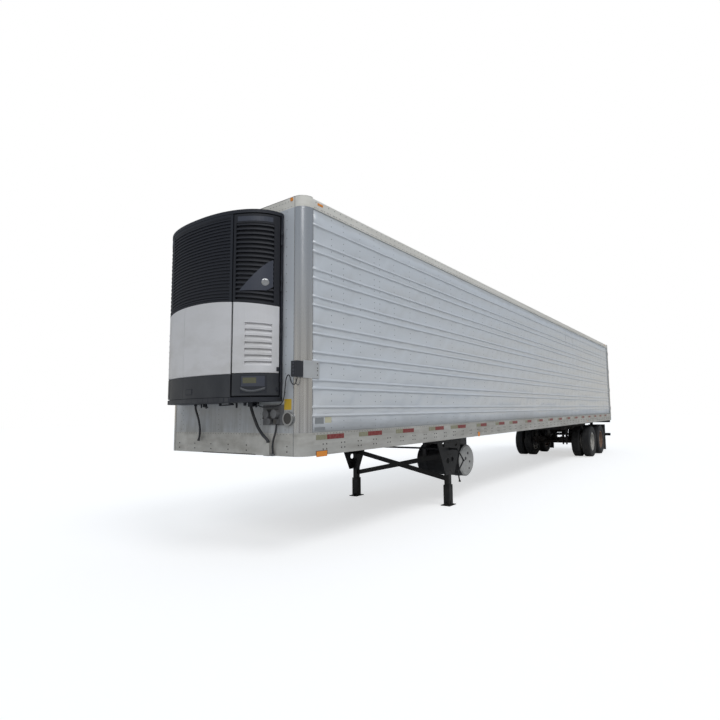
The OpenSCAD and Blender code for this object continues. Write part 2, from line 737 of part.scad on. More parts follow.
module mud_flaps() {
    bar_z = bogie_z0 + 60;
    y = bogie_y1 + 20;
    color("black") at_nose() both_sides() {
        rod_x(rail_x + slide_w / 2 - 20, half_w - 20, y, bar_z, 20);
        block([rail_x - 40, bogie_y1, bar_z - 30], [rail_x + 60, y, bar_z + 30]);
        block([half_w - 20 - flap_w, y + 15, flap_z0], [half_w - 20, y + 27, bar_z + 40]);
    }
}

// --------------------------------------------------------------------- wheels
// Tyre section in radius and width, from the middle of the tread
module tyre(x) {
    hw = tyre_w / 2;
    bead = 286;
    translate([x, 0, 0]) rotate([0, 90, 0]) rotate_extrude($fn = 96)
        polygon([[bead, -95], [bead + 18, -96], [bead + 60, -hw + 8], [bead + 105, -hw],
                 [tyre_r - 60, -hw + 12], [tyre_r - 12, -hw + 26], [tyre_r, -hw + 44],
                 [tyre_r, hw - 44], [tyre_r - 12, hw - 26], [tyre_r - 60, hw - 12],
                 [bead + 105, hw], [bead + 60, hw - 8], [bead + 18, 96], [bead, 95]]);
}
module at_wheel(s, y) {
    at_nose() side(s) translate([0, y, axle_z]) children();
}
module tyres(s, y) {
    color("black") at_wheel(s, y) for (k = [-1, 1]) tyre(hub_x + k * twin_pitch / 2);
}
// Steel rim with its disc; the disc's face lies in the plane between the tyres
module rim(k) {
    translate([hub_x, 0, 0]) mirror([k < 0 ? 1 : 0, 0, 0]) rotate([0, 90, 0]) rotate_extrude($fn = 96)
        polygon([[115, 0], [215, 0], [250, 40], [262, 66], [300, 66], [300, 74], [286, 76],
                 [286, twin_pitch / 2 + 95], [300, twin_pitch / 2 + 97],
                 [300, twin_pitch / 2 + 105], [272, twin_pitch / 2 + 105],
                 [272, 90], [240, 50], [208, 12], [115, 12]]);
}
module hub(s, y) {
    color("silver") at_wheel(s, y) difference() {
        union() {
            rim(1);
            rim(-1);
            // hub barrel, drum web and cap
            rod_x(hub_x - 60, hub_x + 140, 0, 0, 116);
            rod_x(hub_x + 140 - eps, hub_x + 210, 0, 0, 82);
            rod_x(hub_x + 210 - eps, hub_x + 238, 0, 0, 66);
            translate([hub_x, 0, 0]) rotate([0, 90, 0]) rotate_extrude($fn = 96)
                polygon([[110, -60], [206, -60], [206, -255], [186, -255], [186, -75],
                         [110, -75]]);
        }
        rod_x(hub_x - 80, hub_x + 205.5, 0, 0, spindle_r + 0.1);
    }
}

// ---------------------------------------------------------- hoses and cables
// A round tube swept through points, with straight cut ends
function unit(v) = v / norm(v);
function tangent(p, i) = i == 0 ? unit(p[1] - p[0])
    : i == len(p) - 1 ? unit(p[i] - p[i - 1]) : unit(unit(p[i + 1] - p[i]) + unit(p[i] - p[i - 1]));
function ring(c, t, r, n) = let (u = unit(cross(t, [0, 1, 0.2])), v = cross(t, u))
    [for (k = [0 : n - 1]) c + r * (u * cos(360 * k / n) + v * sin(360 * k / n))];
module tube(p, r, n = 8) {
    m = len(p);
    polyhedron(points = [for (i = [0 : m - 1]) each ring(p[i], tangent(p, i), r, n)],
        faces = concat(
            [[for (k = [0 : n - 1]) k]],
            [for (i = [0 : m - 2]) for (k = [0 : n - 1])
                [i * n + k, (i + 1) * n + k, (i + 1) * n + (k + 1) % n, i * n + (k + 1) % n]],
            [[for (k = [n - 1 : -1 : 0]) (m - 1) * n + k]]));
}
// Catmull-Rom points between hand-picked ones
function spline(p, n) = concat([for (i = [0 : len(p) - 2]) each
    let (a = p[max(i - 1, 0)], b = p[i], c = p[i + 1], d = p[min(i + 2, len(p) - 1)])
    [for (k = [0 : n - 1]) let (t = k / n)
        (2 * b + (c - a) * t + (2 * a - 5 * b + 4 * c - d) * t * t
         + (3 * b - a - 3 * c + d) * t * t * t) / 2]], [p[len(p) - 1]]);
DRAIN = [[-560, -90, 1730], [-560, -90, 1700], [-548, -86, 1660], [-536, -78, 1615],
         [-530, -66, 1565], [-529, -54, 1510], [-532, -43, 1455], [-541, -35, 1400],
         [-556, -30, 1345], [-576, -29, 1292]];
BUNDLE = [[540, -90, 1730], [540, -90, 1700], [556, -80, 1630], [580, -62, 1545],
          [620, -48, 1455], [690, -38, 1375], [742, -28, 1330], [760, -24, 1305],
          [760, -24, 1285]];
SUPPLY = [[905, -28, 1500], [905, -28, 1475], [898, -32, 1410], [868, -34, 1330],
          [846, -28, 1255], [842, -20, 1190], [842, -20, 1165]];
STATUS = [[1250, -45, 2012.5], [1250, -45, 1990], [1230, -45, 1945], [1195, -45, 1930],
          [1160, -45, 1960], [1142, -45, 2010], [1122, -45, 2040], [1096, -45, 2030],
          [1075, -45, 1985], [1062, -45, 1900], [1048, -45, 1800], [1010, -46, 1728],
          [930, -50, 1700], [800, -60, 1690], [700, -68, 1694], [652, -70, 1708],
          [640, -70, 1722], [640, -70, 1730]];
module drain_hose() { color("black") at_nose() tube(DRAIN, 13); }
module air_line_bundle() { color("black") at_nose() tube(spline(BUNDLE, 2), 17); }
module supply_line() { color("black") at_nose() tube(spline(SUPPLY, 2), 11); }
module status_cable() { color("black") at_nose() tube(spline(STATUS, 2), 6); }

floor_panel();  // floor
wall(1);  // wall_left
wall(-1);  // wall_right
front_wall();
nose_corners();
roof();
top_rails();
front_top_rail();
bottom_rails();
front_sill();
coupler_plate();
kingpin();
crossmembers();
rear_frame();
hinge_brackets();
door_keepers();
dock_bumpers();
underride_guard();
landing_legs();
landing_feet();
landing_wing_plates();
landing_brace();
landing_crank();
fuel_tank();
tank_straps();
slide_rails();
air_coupling_panel();
status_box();
unit_frame();
unit_front_panel();
unit_engine();
unit_door(1);  // unit_door_left
unit_door(-1);  // unit_door_right
door(1);  // door_left
door(-1);  // door_right
lock_rods(1);  // lock_rods_left
lock_rods(-1);  // lock_rods_right
bogie_frame();
suspension_arms();
air_springs();
axles();
brake_chambers();
mud_flaps();
tyres(1, axle1_y);  // tyres_front_left
tyres(-1, axle1_y);  // tyres_front_right
tyres(1, axle2_y);  // tyres_rear_left
tyres(-1, axle2_y);  // tyres_rear_right
hub(1, axle1_y);  // hub_front_left
hub(-1, axle1_y);  // hub_front_right
hub(1, axle2_y);  // hub_rear_left
hub(-1, axle2_y);  // hub_rear_right
drain_hose();
air_line_bundle();
supply_line();
status_cable();
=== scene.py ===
import math

import bmesh
import bpy
import numpy as np
from mathutils import Matrix, Vector


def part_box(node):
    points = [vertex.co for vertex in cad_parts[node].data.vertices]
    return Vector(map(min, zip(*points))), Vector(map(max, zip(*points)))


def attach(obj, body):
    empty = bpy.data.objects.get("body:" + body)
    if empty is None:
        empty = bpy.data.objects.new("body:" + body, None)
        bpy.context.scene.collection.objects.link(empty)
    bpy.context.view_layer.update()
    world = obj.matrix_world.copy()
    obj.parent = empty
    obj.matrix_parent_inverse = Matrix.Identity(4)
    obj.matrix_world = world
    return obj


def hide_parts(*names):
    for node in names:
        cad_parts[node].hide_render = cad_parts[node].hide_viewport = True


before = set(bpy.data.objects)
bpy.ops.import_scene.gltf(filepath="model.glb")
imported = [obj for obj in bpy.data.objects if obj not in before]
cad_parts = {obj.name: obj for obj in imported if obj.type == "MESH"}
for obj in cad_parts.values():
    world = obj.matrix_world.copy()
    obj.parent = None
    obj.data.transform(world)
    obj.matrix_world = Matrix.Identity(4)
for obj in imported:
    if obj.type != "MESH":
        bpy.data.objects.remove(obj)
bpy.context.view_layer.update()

# ---------------------------------------------------------------- camera, lamps and yard
# The trailer stands on its own in even daylight. The eye is at head height, ahead of
# the road side's front corner, with a wide lens.
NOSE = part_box("front_wall")[0].y         # outer face of the front wall
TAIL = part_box("rear_frame")[1].y         # rear face of the rear frame
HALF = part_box("wall_left")[1].x          # half of the body's width
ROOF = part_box("rear_frame")[1].z
HALF_MM, ROOF_MM, BACK = HALF * 1000, ROOF * 1000, (TAIL - NOSE) * 1000


def linked(title, data):
    """A new object in the scene."""
    made = bpy.data.objects.new(title, data)
    bpy.context.scene.collection.objects.link(made)
    return made


def add_node(tree, kind, sockets=(), **settings):
    """A new node with its properties set, and a constant or a link given to its sockets."""
    made = tree.nodes.new(kind)
    for name, value in settings.items():
        setattr(made, name, value)
    for name, value in dict(sockets).items():
        if isinstance(value, bpy.types.NodeSocket):
            tree.links.new(value, made.inputs[name])
        else:
            made.inputs[name].default_value = value
    return made


def plain_finish(title, colour, rough, metal=0.0, coat=0.0):
    """A finish of one colour, with every constant on the shader itself."""
    made = bpy.data.materials.new(title)
    made.use_nodes = True
    shader = made.node_tree.nodes["Principled BSDF"]
    shader.inputs["Base Color"].default_value = (*colour, 1)
    shader.inputs["Roughness"].default_value = rough
    shader.inputs["Metallic"].default_value = metal
    shader.inputs["Coat Weight"].default_value = coat
    return made


eye = Vector((5.179, NOSE - 3.65, 1.611))
yaw, pitch, roll = math.radians(32.854), math.radians(5.38), math.radians(-1.03)
ahead = Vector((-math.sin(yaw) * math.cos(pitch), math.cos(yaw) * math.cos(pitch), math.sin(pitch)))
level = Vector((math.cos(yaw), math.sin(yaw), 0))
upright = level.cross(ahead)
right = level * math.cos(roll) + upright * math.sin(roll)
up = upright * math.cos(roll) - level * math.sin(roll)
camera = linked("camera", bpy.data.cameras.new("camera"))
camera.data.sensor_width = 36
camera.data.lens = 23.69
camera.data.shift_x = -0.0832
camera.data.shift_y = 0.0094
camera.data.clip_end = 200
camera.matrix_world = Matrix.Translation(eye) @ Matrix((right, up, -ahead)).transposed().to_4x4()
bpy.context.scene.camera = camera
bpy.context.scene.view_settings.view_transform = "Standard"

sky = bpy.data.worlds.new("sky")
sky.use_nodes = True
dome = sky.node_tree
toward = add_node(dome, "ShaderNodeTexCoord").outputs["Generated"]
height = add_node(dome, "ShaderNodeSeparateXYZ", {"Vector": toward}).outputs["Z"]
haze = add_node(dome, "ShaderNodeMapRange", {"Value": height, "From Min": 0.02, "From Max": 0.30})
tint = add_node(dome, "ShaderNodeMix",
                {"Factor": haze.outputs["Result"],
                 "A": (1.25, 1.16, 0.98, 1),             # bright haze near the ground
                 "B": (0.76, 0.86, 0.98, 1)}, data_type="RGBA")
daylight = dome.nodes["Background"]
dome.links.new(tint.outputs["Result"], daylight.inputs["Color"])
daylight.inputs["Strength"].default_value = 0.45
backdrop = add_node(dome, "ShaderNodeBackground", {"Color": (1, 1, 1, 1), "Strength": 1.0})
rays = add_node(dome, "ShaderNodeLightPath")
either = add_node(dome, "ShaderNodeMixShader", {"Fac": rays.outputs["Is Camera Ray"],
                                                1: daylight.outputs[0], 2: backdrop.outputs[0]})
dome.links.new(either.outputs[0], dome.nodes["World Output"].inputs["Surface"])
bpy.context.scene.world = sky
for title, aim, strength, spread in (("day_front", (-0.45, 0.75, -0.75), 0.70, 0.5),
                                     ("day_side", (-0.55, 0.10, -0.85), 0.66, 0.4)):
    lamp = linked(title, bpy.data.lights.new(title, "SUN"))
    lamp.data.energy = strength
    lamp.data.angle = spread
    lamp.rotation_mode = "QUATERNION"
    lamp.rotation_quaternion = Vector(aim).to_track_quat("-Z", "Y")

YARD = 90.0                              # half width of the yard
FLOOR_GLOW = 0.58                        # lifts the floor to the backdrop's white
yard_mesh = bpy.data.meshes.new("yard")
yard_mesh.from_pydata([(-YARD, -YARD, 0), (YARD, -YARD, 0), (YARD, YARD, 0), (-YARD, YARD, 0)], [],
                      [(0, 1, 2, 3)])
yard = linked("yard", yard_mesh)
pale_yard = plain_finish("pale_yard", (0.62, 0.62, 0.62), 0.95)
ground = pale_yard.node_tree
seen = add_node(ground, "ShaderNodeLightPath").outputs["Is Camera Ray"]
glow = add_node(ground, "ShaderNodeMath", {0: seen, 1: FLOOR_GLOW}, operation="MULTIPLY")
white_glow = add_node(ground, "ShaderNodeEmission", {"Strength": glow.outputs["Value"]})
joined = add_node(ground, "ShaderNodeAddShader", {0: ground.nodes["Principled BSDF"].outputs[0],
                                                  1: white_glow.outputs[0]})
ground.links.new(joined.outputs[0], ground.nodes["Material Output"].inputs["Surface"])
yard_mesh.materials.append(pale_yard)


# ---------------------------------------------------------------- hoses and cable
# A drain hose under the unit, a bundle of air lines, a supply line to the couplings and
# the status cable. All are black rubber; the drain hose ends in a short round valve.
def dirt_and_painted_light(made, dirt_and_light_colour, low, high, amount, grain=(3, 3, 3), seed=0.0, even=0.0):
    """Dirt, and at some calls painted reflection, mixed over a finish: full at height low, gone at height
    high, broken by a grain.
    """
    tree = made.node_tree
    base = tree.nodes["Principled BSDF"].inputs["Base Color"]
    spot = add_node(tree, "ShaderNodeTexCoord").outputs["Object"]
    turn = add_node(tree, "ShaderNodeMapping",
                    {"Vector": spot, "Scale": grain, "Location": (seed, seed * 0.7, seed * 1.3)})
    cloud = add_node(tree, "ShaderNodeTexNoise", {"Vector": turn.outputs["Vector"], "Scale": 1.0,
                                                  "Detail": 6.0, "Roughness": 0.62})
    part = add_node(tree, "ShaderNodeMapRange", {"Value": cloud.outputs["Fac"], "From Min": 0.42 - even,
                                                 "From Max": 0.72 - even, "To Max": amount})
    axes = add_node(tree, "ShaderNodeSeparateXYZ", {"Vector": spot})
    rise = add_node(tree, "ShaderNodeMapRange",
                    {"Value": axes.outputs["Z"], "From Min": high, "From Max": low})
    both = add_node(tree, "ShaderNodeMath", {0: part.outputs["Result"], 1: rise.outputs["Result"]},
                    operation="MULTIPLY")
    under = base.links[0].from_socket if base.is_linked else base.default_value[:]
    mix = add_node(tree, "ShaderNodeMix", {"Factor": both.outputs["Value"], "A": under,
                                           "B": (*dirt_and_light_colour, 1)}, data_type="RGBA")
    tree.links.new(mix.outputs["Result"], base)
    return made


def at(x, y, z):
    """A point from millimetres counted back from the front wall's face."""
    return Vector((x / 1000, NOSE + y / 1000, z / 1000))


def eased(stops, steps):
    """Points of a smooth curve through the stops."""
    ends = [stops[0] * 2 - stops[1], *stops, stops[-1] * 2 - stops[-2]]
    line = []
    for a, b, c, d in zip(ends, ends[1:], ends[2:], ends[3:]):
        for k in range(steps):
            t = k / steps
            line.append(0.5 * (2 * b + (c - a) * t + (2 * a - 5 * b + 4 * c - d) * t * t
                               + (3 * b - 3 * c + d - a) * t ** 3))
    return [*line, stops[-1]]


def loft(stock, *rings):
    """Adds to stock the closed solid through rings of equally many corners."""
    corners, sides = stock
    base, n = len(corners), len(rings[0])
    for ring in rings:
        corners.extend(ring)
    top = base + n * (len(rings) - 1)
    sides.append([base + k for k in range(n)][::-1])
    sides.append([top + k for k in range(n)])
    for foot in range(base, top, n):
        sides.extend([foot + k, foot + (k + 1) % n, foot + n + (k + 1) % n, foot + n + k]
                     for k in range(n))


def rod(stock, start, stop, radius, n=16, tip=None):
    """Adds a round bar from start to stop, in millimetres from the front wall."""
    p, q = Vector(start), Vector(stop)
    lie = (q - p).to_track_quat("Z", "Y")
    turns = [2 * math.pi * k / n for k in range(n)]
    loft(stock, *[[at(*(centre + lie @ Vector((r * math.cos(a), r * math.sin(a), 0)))) for a in turns]
                  for centre, r in ((p, radius), (q, radius if tip is None else tip))])


def rods(*bars):
    """A stock of round bars."""
    stock = ([], [])
    for bar in bars:
        rod(stock, *bar)
    return stock


MERGE = 0.00001                          # corners closer than this are one


def closed(title, stock):
    """An object from a stock, its double corners merged and its faces turned outwards."""
    mesh = bpy.data.meshes.new(title)
    mesh.from_pydata([tuple(c) for c in stock[0]], [], stock[1])
    work = bmesh.new()
    work.from_mesh(mesh)
    bmesh.ops.remove_doubles(work, verts=work.verts, dist=MERGE)
    bmesh.ops.recalc_face_normals(work, faces=work.faces)
    work.to_mesh(mesh)
    work.free()
    return linked(title, mesh)


def shape(title, stock, finish, body="trailer", edge=0.0, steps=1):
    """A piece of the trailer riding on its body, with a bevel if edge gives its width."""
    made = closed(title, stock)
    made.data.materials.append(finish)
    if edge:
        soft = made.modifiers.new("soft_edges", "BEVEL")
        soft.width = edge
        soft.segments = steps
        soft.limit_method = "ANGLE"
        soft.harden_normals = False
    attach(made, body)
    return made


rubber_hose = dirt_and_painted_light(plain_finish("hose_rubber", (0.022, 0.023, 0.028), 0.55), (0.12, 0.11, 0.10),
                     1.1, 2.2, 0.5, (9, 9, 9))
HOSES = {
    # node: (radius in mm, far end, lay, stops)
    "drain_hose": (13, "fitting", "hanging",
                   [(-560, -90, 1730), (-560, -90, 1700), (-548, -86, 1660), (-536, -78, 1615),
                    (-530, -66, 1565), (-529, -54, 1510), (-532, -43, 1455), (-541, -35, 1400),
                    (-556, -30, 1345), (-576, -29, 1292)]),
    "air_line_bundle": (17, "object", "hanging",
                        [(540, -90, 1730), (540, -90, 1700), (556, -80, 1630), (580, -62, 1545),
                         (620, -48, 1455), (690, -38, 1375), (742, -28, 1330), (760, -24, 1305),
                         (760, -24, 1285)]),
    "supply_line": (11, "object", "hanging",
                    [(905, -28, 1500), (905, -28, 1475), (898, -32, 1410), (868, -34, 1330),
                     (846, -28, 1255), (842, -20, 1190), (842, -20, 1165)]),
    "status_cable": (6, "object", "hanging",
                     [(1250, -45, 2012.5), (1250, -45, 1990), (1230, -45, 1945), (1195, -45, 1930),
                      (1160, -45, 1960), (1142, -45, 2010), (1122, -45, 2040), (1096, -45, 2030),
                      (1075, -45, 1985), (1062, -45, 1900), (1048, -45, 1800), (1010, -46, 1728),
                      (930, -50, 1700), (800, -60, 1690), (700, -68, 1694), (652, -70, 1708),
                      (640, -70, 1722), (640, -70, 1730)]),
}


def hose(title, radius, stops):
    """One round hose as a curve through its stops, and its length."""
    line = eased([at(*s) for s in stops], 3)
    curve = bpy.data.curves.new(title + "_rubber", "CURVE")
    curve.dimensions = "3D"
    curve.bevel_depth = radius / 1000
    curve.bevel_resolution = 3
    curve.use_fill_caps = True
    run = curve.splines.new("POLY")
    run.points.add(len(line) - 1)
    for point, spot in zip(run.points, line):
        point.co = (*spot, 1)
        point.radius = 1
    made = linked(title + "_rubber", curve)
    curve.materials.append(rubber_hose)
    return made, sum((b - a).length for a, b in zip(line, line[1:]))


x, y, z = HOSES["drain_hose"][3][-1]
drain_valve = shape("drain_valve", rods(((x + 3, y, z + 12), (x - 2, y, z - 4), 15.5)), rubber_hose)
for node, (radius, far_end, lay, stops) in HOSES.items():
    piece, run_length = hose(node, radius, stops)
    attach(piece, "trailer")
    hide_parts(node)

# ---------------------------------------------------------------- side walls
# Painted aluminium sheets on a foam core, each with a single top bead and seven pairs of
# rolled beads, riveted to posts about 0.42 m apart. Between the posts the sheet pulls in.
BEADS = (3.798, 3.583, 3.480, 3.271, 3.163, 2.949, 2.848, 2.622, 2.523, 2.306, 2.207,
         1.991, 1.896, 1.683, 1.586)
BEAD_HALF, BEAD_RISE = 0.017, 0.0125
BEAD_SECTION = ((-1.0, 0.0), (-0.6, 0.95), (-0.3, 1.0), (0.2, 0.8), (1.0, 0.0))
BEAD_TOE = 0.005                         # flat strip kept beside each bead
POSTS = [0.457, 0.67, 0.987, 1.282, 1.398, 1.734, 2.132, 2.575, 3.006, 3.405, 3.818]
POST_PITCH, JOINT_PITCH = 0.415, 0.116   # every tenth post is doubled at a sheet joint
while POSTS[-1] + POST_PITCH < TAIL - NOSE - 0.3:
    POSTS.append(POSTS[-1] + (POST_PITCH if len(POSTS) % 10 else JOINT_PITCH))
PULL = 0.0060                            # how far the sheet draws in between posts
wall_low, wall_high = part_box("wall_left")
skin_x = HALF - 0.009                    # outer face of the sheet between the beads
skin_white = plain_finish("side_skin", (0.64, 0.67, 0.71), 0.22, 0.0, 0.5)
dirt_and_painted_light(skin_white, (0.50, 0.49, 0.47), 1.35, 2.2, 0.35, (0.9, 0.55, 2.5), 3.0)
# Painted reflection: long, warm, horizontally stretched light patches in the side skin's colour stand in
# for reflections along the sheet.
dirt_and_painted_light(skin_white, (0.80, 0.74, 0.66), 1.0, 5.0, 0.30, (0.4, 0.22, 0.9), 8.0)
dirt_and_painted_light(skin_white, (0.34, 0.33, 0.32), 1.35, 1.62, 0.25, (5, 2.2, 14), 5.0)


def rippled(made, size, depth, stretch=(1, 1, 1)):
    """Shallow waves in a sheet, by the finish's own bump."""
    tree = made.node_tree
    spot = add_node(tree, "ShaderNodeTexCoord").outputs["Object"]
    turn = add_node(tree, "ShaderNodeMapping", {"Vector": spot, "Scale": stretch})
    wave = add_node(tree, "ShaderNodeTexNoise",
                    {"Vector": turn.outputs["Vector"], "Scale": size, "Detail": 2.0})
    bump = add_node(tree, "ShaderNodeBump",
                    {"Height": wave.outputs["Fac"], "Strength": 1.0, "Distance": depth})
    tree.links.new(bump.outputs["Normal"], tree.nodes["Principled BSDF"].inputs["Normal"])


rippled(skin_white, 2.4, 0.007, (1, 1, 1.4))
profile = [(wall_low.z, 0.0)]
for z in sorted(BEADS):
    profile.append((z - BEAD_HALF - BEAD_TOE, 0.0))
    profile += [(z + BEAD_HALF * f, BEAD_RISE * rise) for f, rise in BEAD_SECTION]
    profile.append((z + BEAD_HALF + BEAD_TOE, 0.0))
profile.append((wall_high.z, 0.0))
stations = [wall_low.y - NOSE]
for post in POSTS:
    if post - stations[-1] > 0.3:
        stations += [stations[-1] + (post - stations[-1]) * f for f in (0.3, 0.7)]
    stations.append(post)
stations.append(wall_high.y - NOSE)
rows, columns = len(profile), len(stations)
for side, node in ((1, "wall_left"), (-1, "wall_right")):
    corners, sides = [], []
    for j, y in enumerate(stations):
        loose = 0.0 if min(abs(y - p) for p in POSTS) < 0.02 else PULL
        for k, (z, rise) in enumerate(profile):
            held = k in (0, rows - 1) or j in (0, columns - 1)
            wander = 0.0 if held else 0.5 + 0.5 * math.sin(j * 2.3 + k * 1.7)
            corners.append((side * (skin_x + rise - loose * wander), NOSE + y, z))
    for j in range(columns - 1):
        for a in range(j * rows, j * rows + rows - 1):
            sides.append([a, a + rows, a + rows + 1, a + 1])
    inner = len(corners)
    for y in (stations[0], stations[-1]):
        for z in (wall_low.z, wall_high.z):
            corners.append((side * wall_low.x, NOSE + y, z))
    last = (columns - 1) * rows
    sides.append([inner, inner + 1, inner + 3, inner + 2])
    sides.append([inner, *range(rows), inner + 1])
    sides.append([inner + 2, *range(last, last + rows), inner + 3])
    sides.append([inner, *range(0, last + 1, rows), inner + 2])
    sides.append([inner + 1, *range(rows - 1, last + rows, rows), inner + 3])
    wall = shape(node + "_beaded", (corners, sides), skin_white)
    for face in wall.data.polygons:
        face.use_smooth = len(face.vertices) == 4 and abs(face.normal.x) > 0.05
    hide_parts(node)


def scatter_tree(title, kind, sizes, size_type="NodeSocketFloat", pivot="AUTO", **fixed):
    """Geometry Nodes: one small mesh on every point, turned to the point's aim."""
    tree = bpy.data.node_groups.new(title, "GeometryNodeTree")
    for name, kind_of_socket in (("Points", "NodeSocketGeometry"), *[(s, size_type) for s in sizes],
                                 ("Finish", "NodeSocketMaterial")):
        tree.interface.new_socket(name, in_out="INPUT", socket_type=kind_of_socket)
    tree.interface.new_socket("Studs", in_out="OUTPUT", socket_type="NodeSocketGeometry")
    given = add_node(tree, "NodeGroupInput").outputs
    head = add_node(tree, kind, {**fixed, **{name: given[name] for name in sizes}})
    aim = add_node(tree, "GeometryNodeInputNamedAttribute", {"Name": "aim"}, data_type="FLOAT_VECTOR")
    lean = add_node(tree, "FunctionNodeAlignRotationToVector", {"Vector": aim.outputs["Attribute"]},
                    axis="Z", pivot_axis=pivot)
    spread = add_node(tree, "GeometryNodeInstanceOnPoints",
                      {"Points": given["Points"], "Instance": head.outputs["Mesh"],
                       "Rotation": lean.outputs["Rotation"]})
    real = add_node(tree, "GeometryNodeRealizeInstances", {"Geometry": spread.outputs["Instances"]})
    coat = add_node(tree, "GeometryNodeSetMaterial", {"Geometry": real.outputs["Geometry"],
                                                      "Material": given["Finish"]})
    add_node(tree, "NodeGroupOutput", {"Studs": coat.outputs["Geometry"]})
    return tree


STUD_SIZES = ("Radius Bottom", "Radius Top", "Depth")
RIVET = (0.0062, 0.0032, 0.0028)         # radii of foot and head, and height
rivet_tree = scatter_tree("domed_studs", "GeometryNodeMeshCone", STUD_SIZES, Vertices=6)


def stud(foot, head, tall, finish):
    """The settings of a stud: radii of its foot and its head, height and finish."""
    return dict(zip((*STUD_SIZES, "Finish"), (foot, head, tall, finish)))


def grown(title, spots, settings, body="trailer", tree=rivet_tree):
    """Runs a tree on a cloud of (place, aim) spots and keeps the result as a plain mesh."""
    cloud = bpy.data.meshes.new(title + "_spots")
    cloud.from_pydata([tuple(p) for p, _ in spots], [], [])
    aims = cloud.attributes.new("aim", "FLOAT_VECTOR", "POINT")
    aims.data.foreach_set("vector", [v for _, aim in spots for v in aim])
    seed = linked(title + "_seed", cloud)
    work = seed.modifiers.new("grow", "NODES")
    work.node_group = tree
    for item in tree.interface.items_tree:
        if item.in_out == "INPUT" and item.name in settings:
            work[item.identifier] = settings[item.name]
    ready = seed.evaluated_get(bpy.context.evaluated_depsgraph_get())
    mesh = bpy.data.meshes.new_from_object(ready)
    bpy.data.objects.remove(seed)
    made = linked(title, mesh)
    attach(made, body)


rivet_skin = plain_finish("rivet_heads", (0.20, 0.21, 0.23), 0.45, 0.3)
WALL_RIVET_PITCH = 0.078
spots = []
for side in (-1, 1):
    for post in POSTS:
        z = wall_low.z + 0.045
        while z < wall_high.z:
            if min(abs(z - b) for b in BEADS) > BEAD_HALF + 0.004:
                spots.append(((side * skin_x, NOSE + post, z), (side, 0, 0)))
            z += WALL_RIVET_PITCH
grown("wall_rivets", spots, stud(*RIVET, rivet_skin))

# ---------------------------------------------------------------- roof, rails and sills
# Extruded aluminium rails close the box: a bevelled top rail, a deep bottom rail with a
# fold line, and the sill under the front wall. Rows of rivets and bolts hold them.
rail_grey = plain_finish("rail_aluminium", (0.52, 0.51, 0.48), 0.45, 0.4)
dirt_and_painted_light(rail_grey, (0.26, 0.235, 0.20), 0.8, 5.0, 0.65, (2.5, 0.9, 9), 1.0)
dirt_and_painted_light(rail_grey, (0.74, 0.72, 0.68), 0.8, 5.0, 0.5, (7, 3, 7), 4.0)
top_grey = plain_finish("top_rail_aluminium", (0.80, 0.775, 0.715), 0.45)
dirt_and_painted_light(top_grey, (0.50, 0.47, 0.41), 3, 6, 0.6, (3, 1.1, 9))
roof_sheet = plain_finish("roof_skin", (0.62, 0.63, 0.65), 0.45, 0.5)
floor_metal = plain_finish("insulated_floor", (0.50, 0.51, 0.52), 0.40, 0.8)


def recoat(node, finish):
    """Gives a CAD node its finish."""
    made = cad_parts[node]
    made.data.materials.clear()
    made.data.materials.append(finish)


def blocks(*places):
    """A stock of boxes between pairs of corners, in millimetres from the front wall."""
    stock = ([], [])
    for (x0, y0, z0), (x1, y1, z1) in places:
        plan = ((x0, y0), (x1, y0), (x1, y1), (x0, y1))
        loft(stock, *[[at(x, y, z) for x, y in plan] for z in (z0, z1)])
    return stock


for node, finish, slot in (("bottom_rails", rail_grey, "rail_aluminium"),
                           ("front_sill", rail_grey, "rail_aluminium"),
                           ("top_rails", top_grey, "rail_aluminium"),
                           ("front_top_rail", top_grey, "rail_aluminium"),
                           ("roof", roof_sheet, "roof_skin"),
                           ("floor", floor_metal, "insulated_floor")):
    recoat(node, finish)
rail_low, rail_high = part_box("bottom_rails")
long_y = (rail_low.y - NOSE, rail_high.y - NOSE)
PROUD = 0.0005                           # studs stand this far off the sheet
RAIL_X, FRONT_Y = HALF + PROUD, NOSE - PROUD
RIVET_PITCH = 0.052
LOW_ROW, MID_ROW, HIGH_ROW = 1.382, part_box("top_rails")[0].z + 0.018, ROOF - 0.045
FORWARD = (0, -1, 0)
spots, bolts = [], []
for side in (-1, 1):
    aim = (side, 0, 0)
    y = long_y[0] + 0.03
    while y < long_y[1] - 0.02:
        spots.append(((side * RAIL_X, NOSE + y, LOW_ROW), aim))
        if int(y * 1000) % 2 == 0:
            spots.append(((side * RAIL_X, NOSE + y, MID_ROW), aim))
        y += RIVET_PITCH
    y = long_y[0] + 0.2
    while y < long_y[1] - 0.1:
        bolts += [((side * RAIL_X, NOSE + y + dy, z), aim) for dy in (-0.028, 0.028)
                  for z in (1.262, 1.205)]
        y += 0.305
    for z in (MID_ROW, HIGH_ROW):
        for k in range(int((long_y[1] - long_y[0]) / (2 * RIVET_PITCH))):
            spots.append(((side * RAIL_X, rail_low.y + 0.05 + k * 2 * RIVET_PITCH, z), aim))
spots += [((x, FRONT_Y, z), FORWARD) for x in np.arange(-1.14, 1.141, RIVET_PITCH)
          for z in (LOW_ROW, MID_ROW, HIGH_ROW)]
bolts += [((x, FRONT_Y, z), FORWARD) for x in np.arange(-1.05, 1.051, 0.35) for z in (1.25, 1.19)]
rail_rivet = stud(*RIVET, plain_finish("rail_rivets", (0.22, 0.21, 0.20), 0.5, 0.4))
grown("rail_rivets", spots, rail_rivet)
dark_bolt = plain_finish("dark_bolts", (0.07, 0.065, 0.06), 0.5, 0.3)


def bolt(tall):
    """The settings of a bolt's head of that height."""
    return stud(0.009, 0.007, tall, dark_bolt)


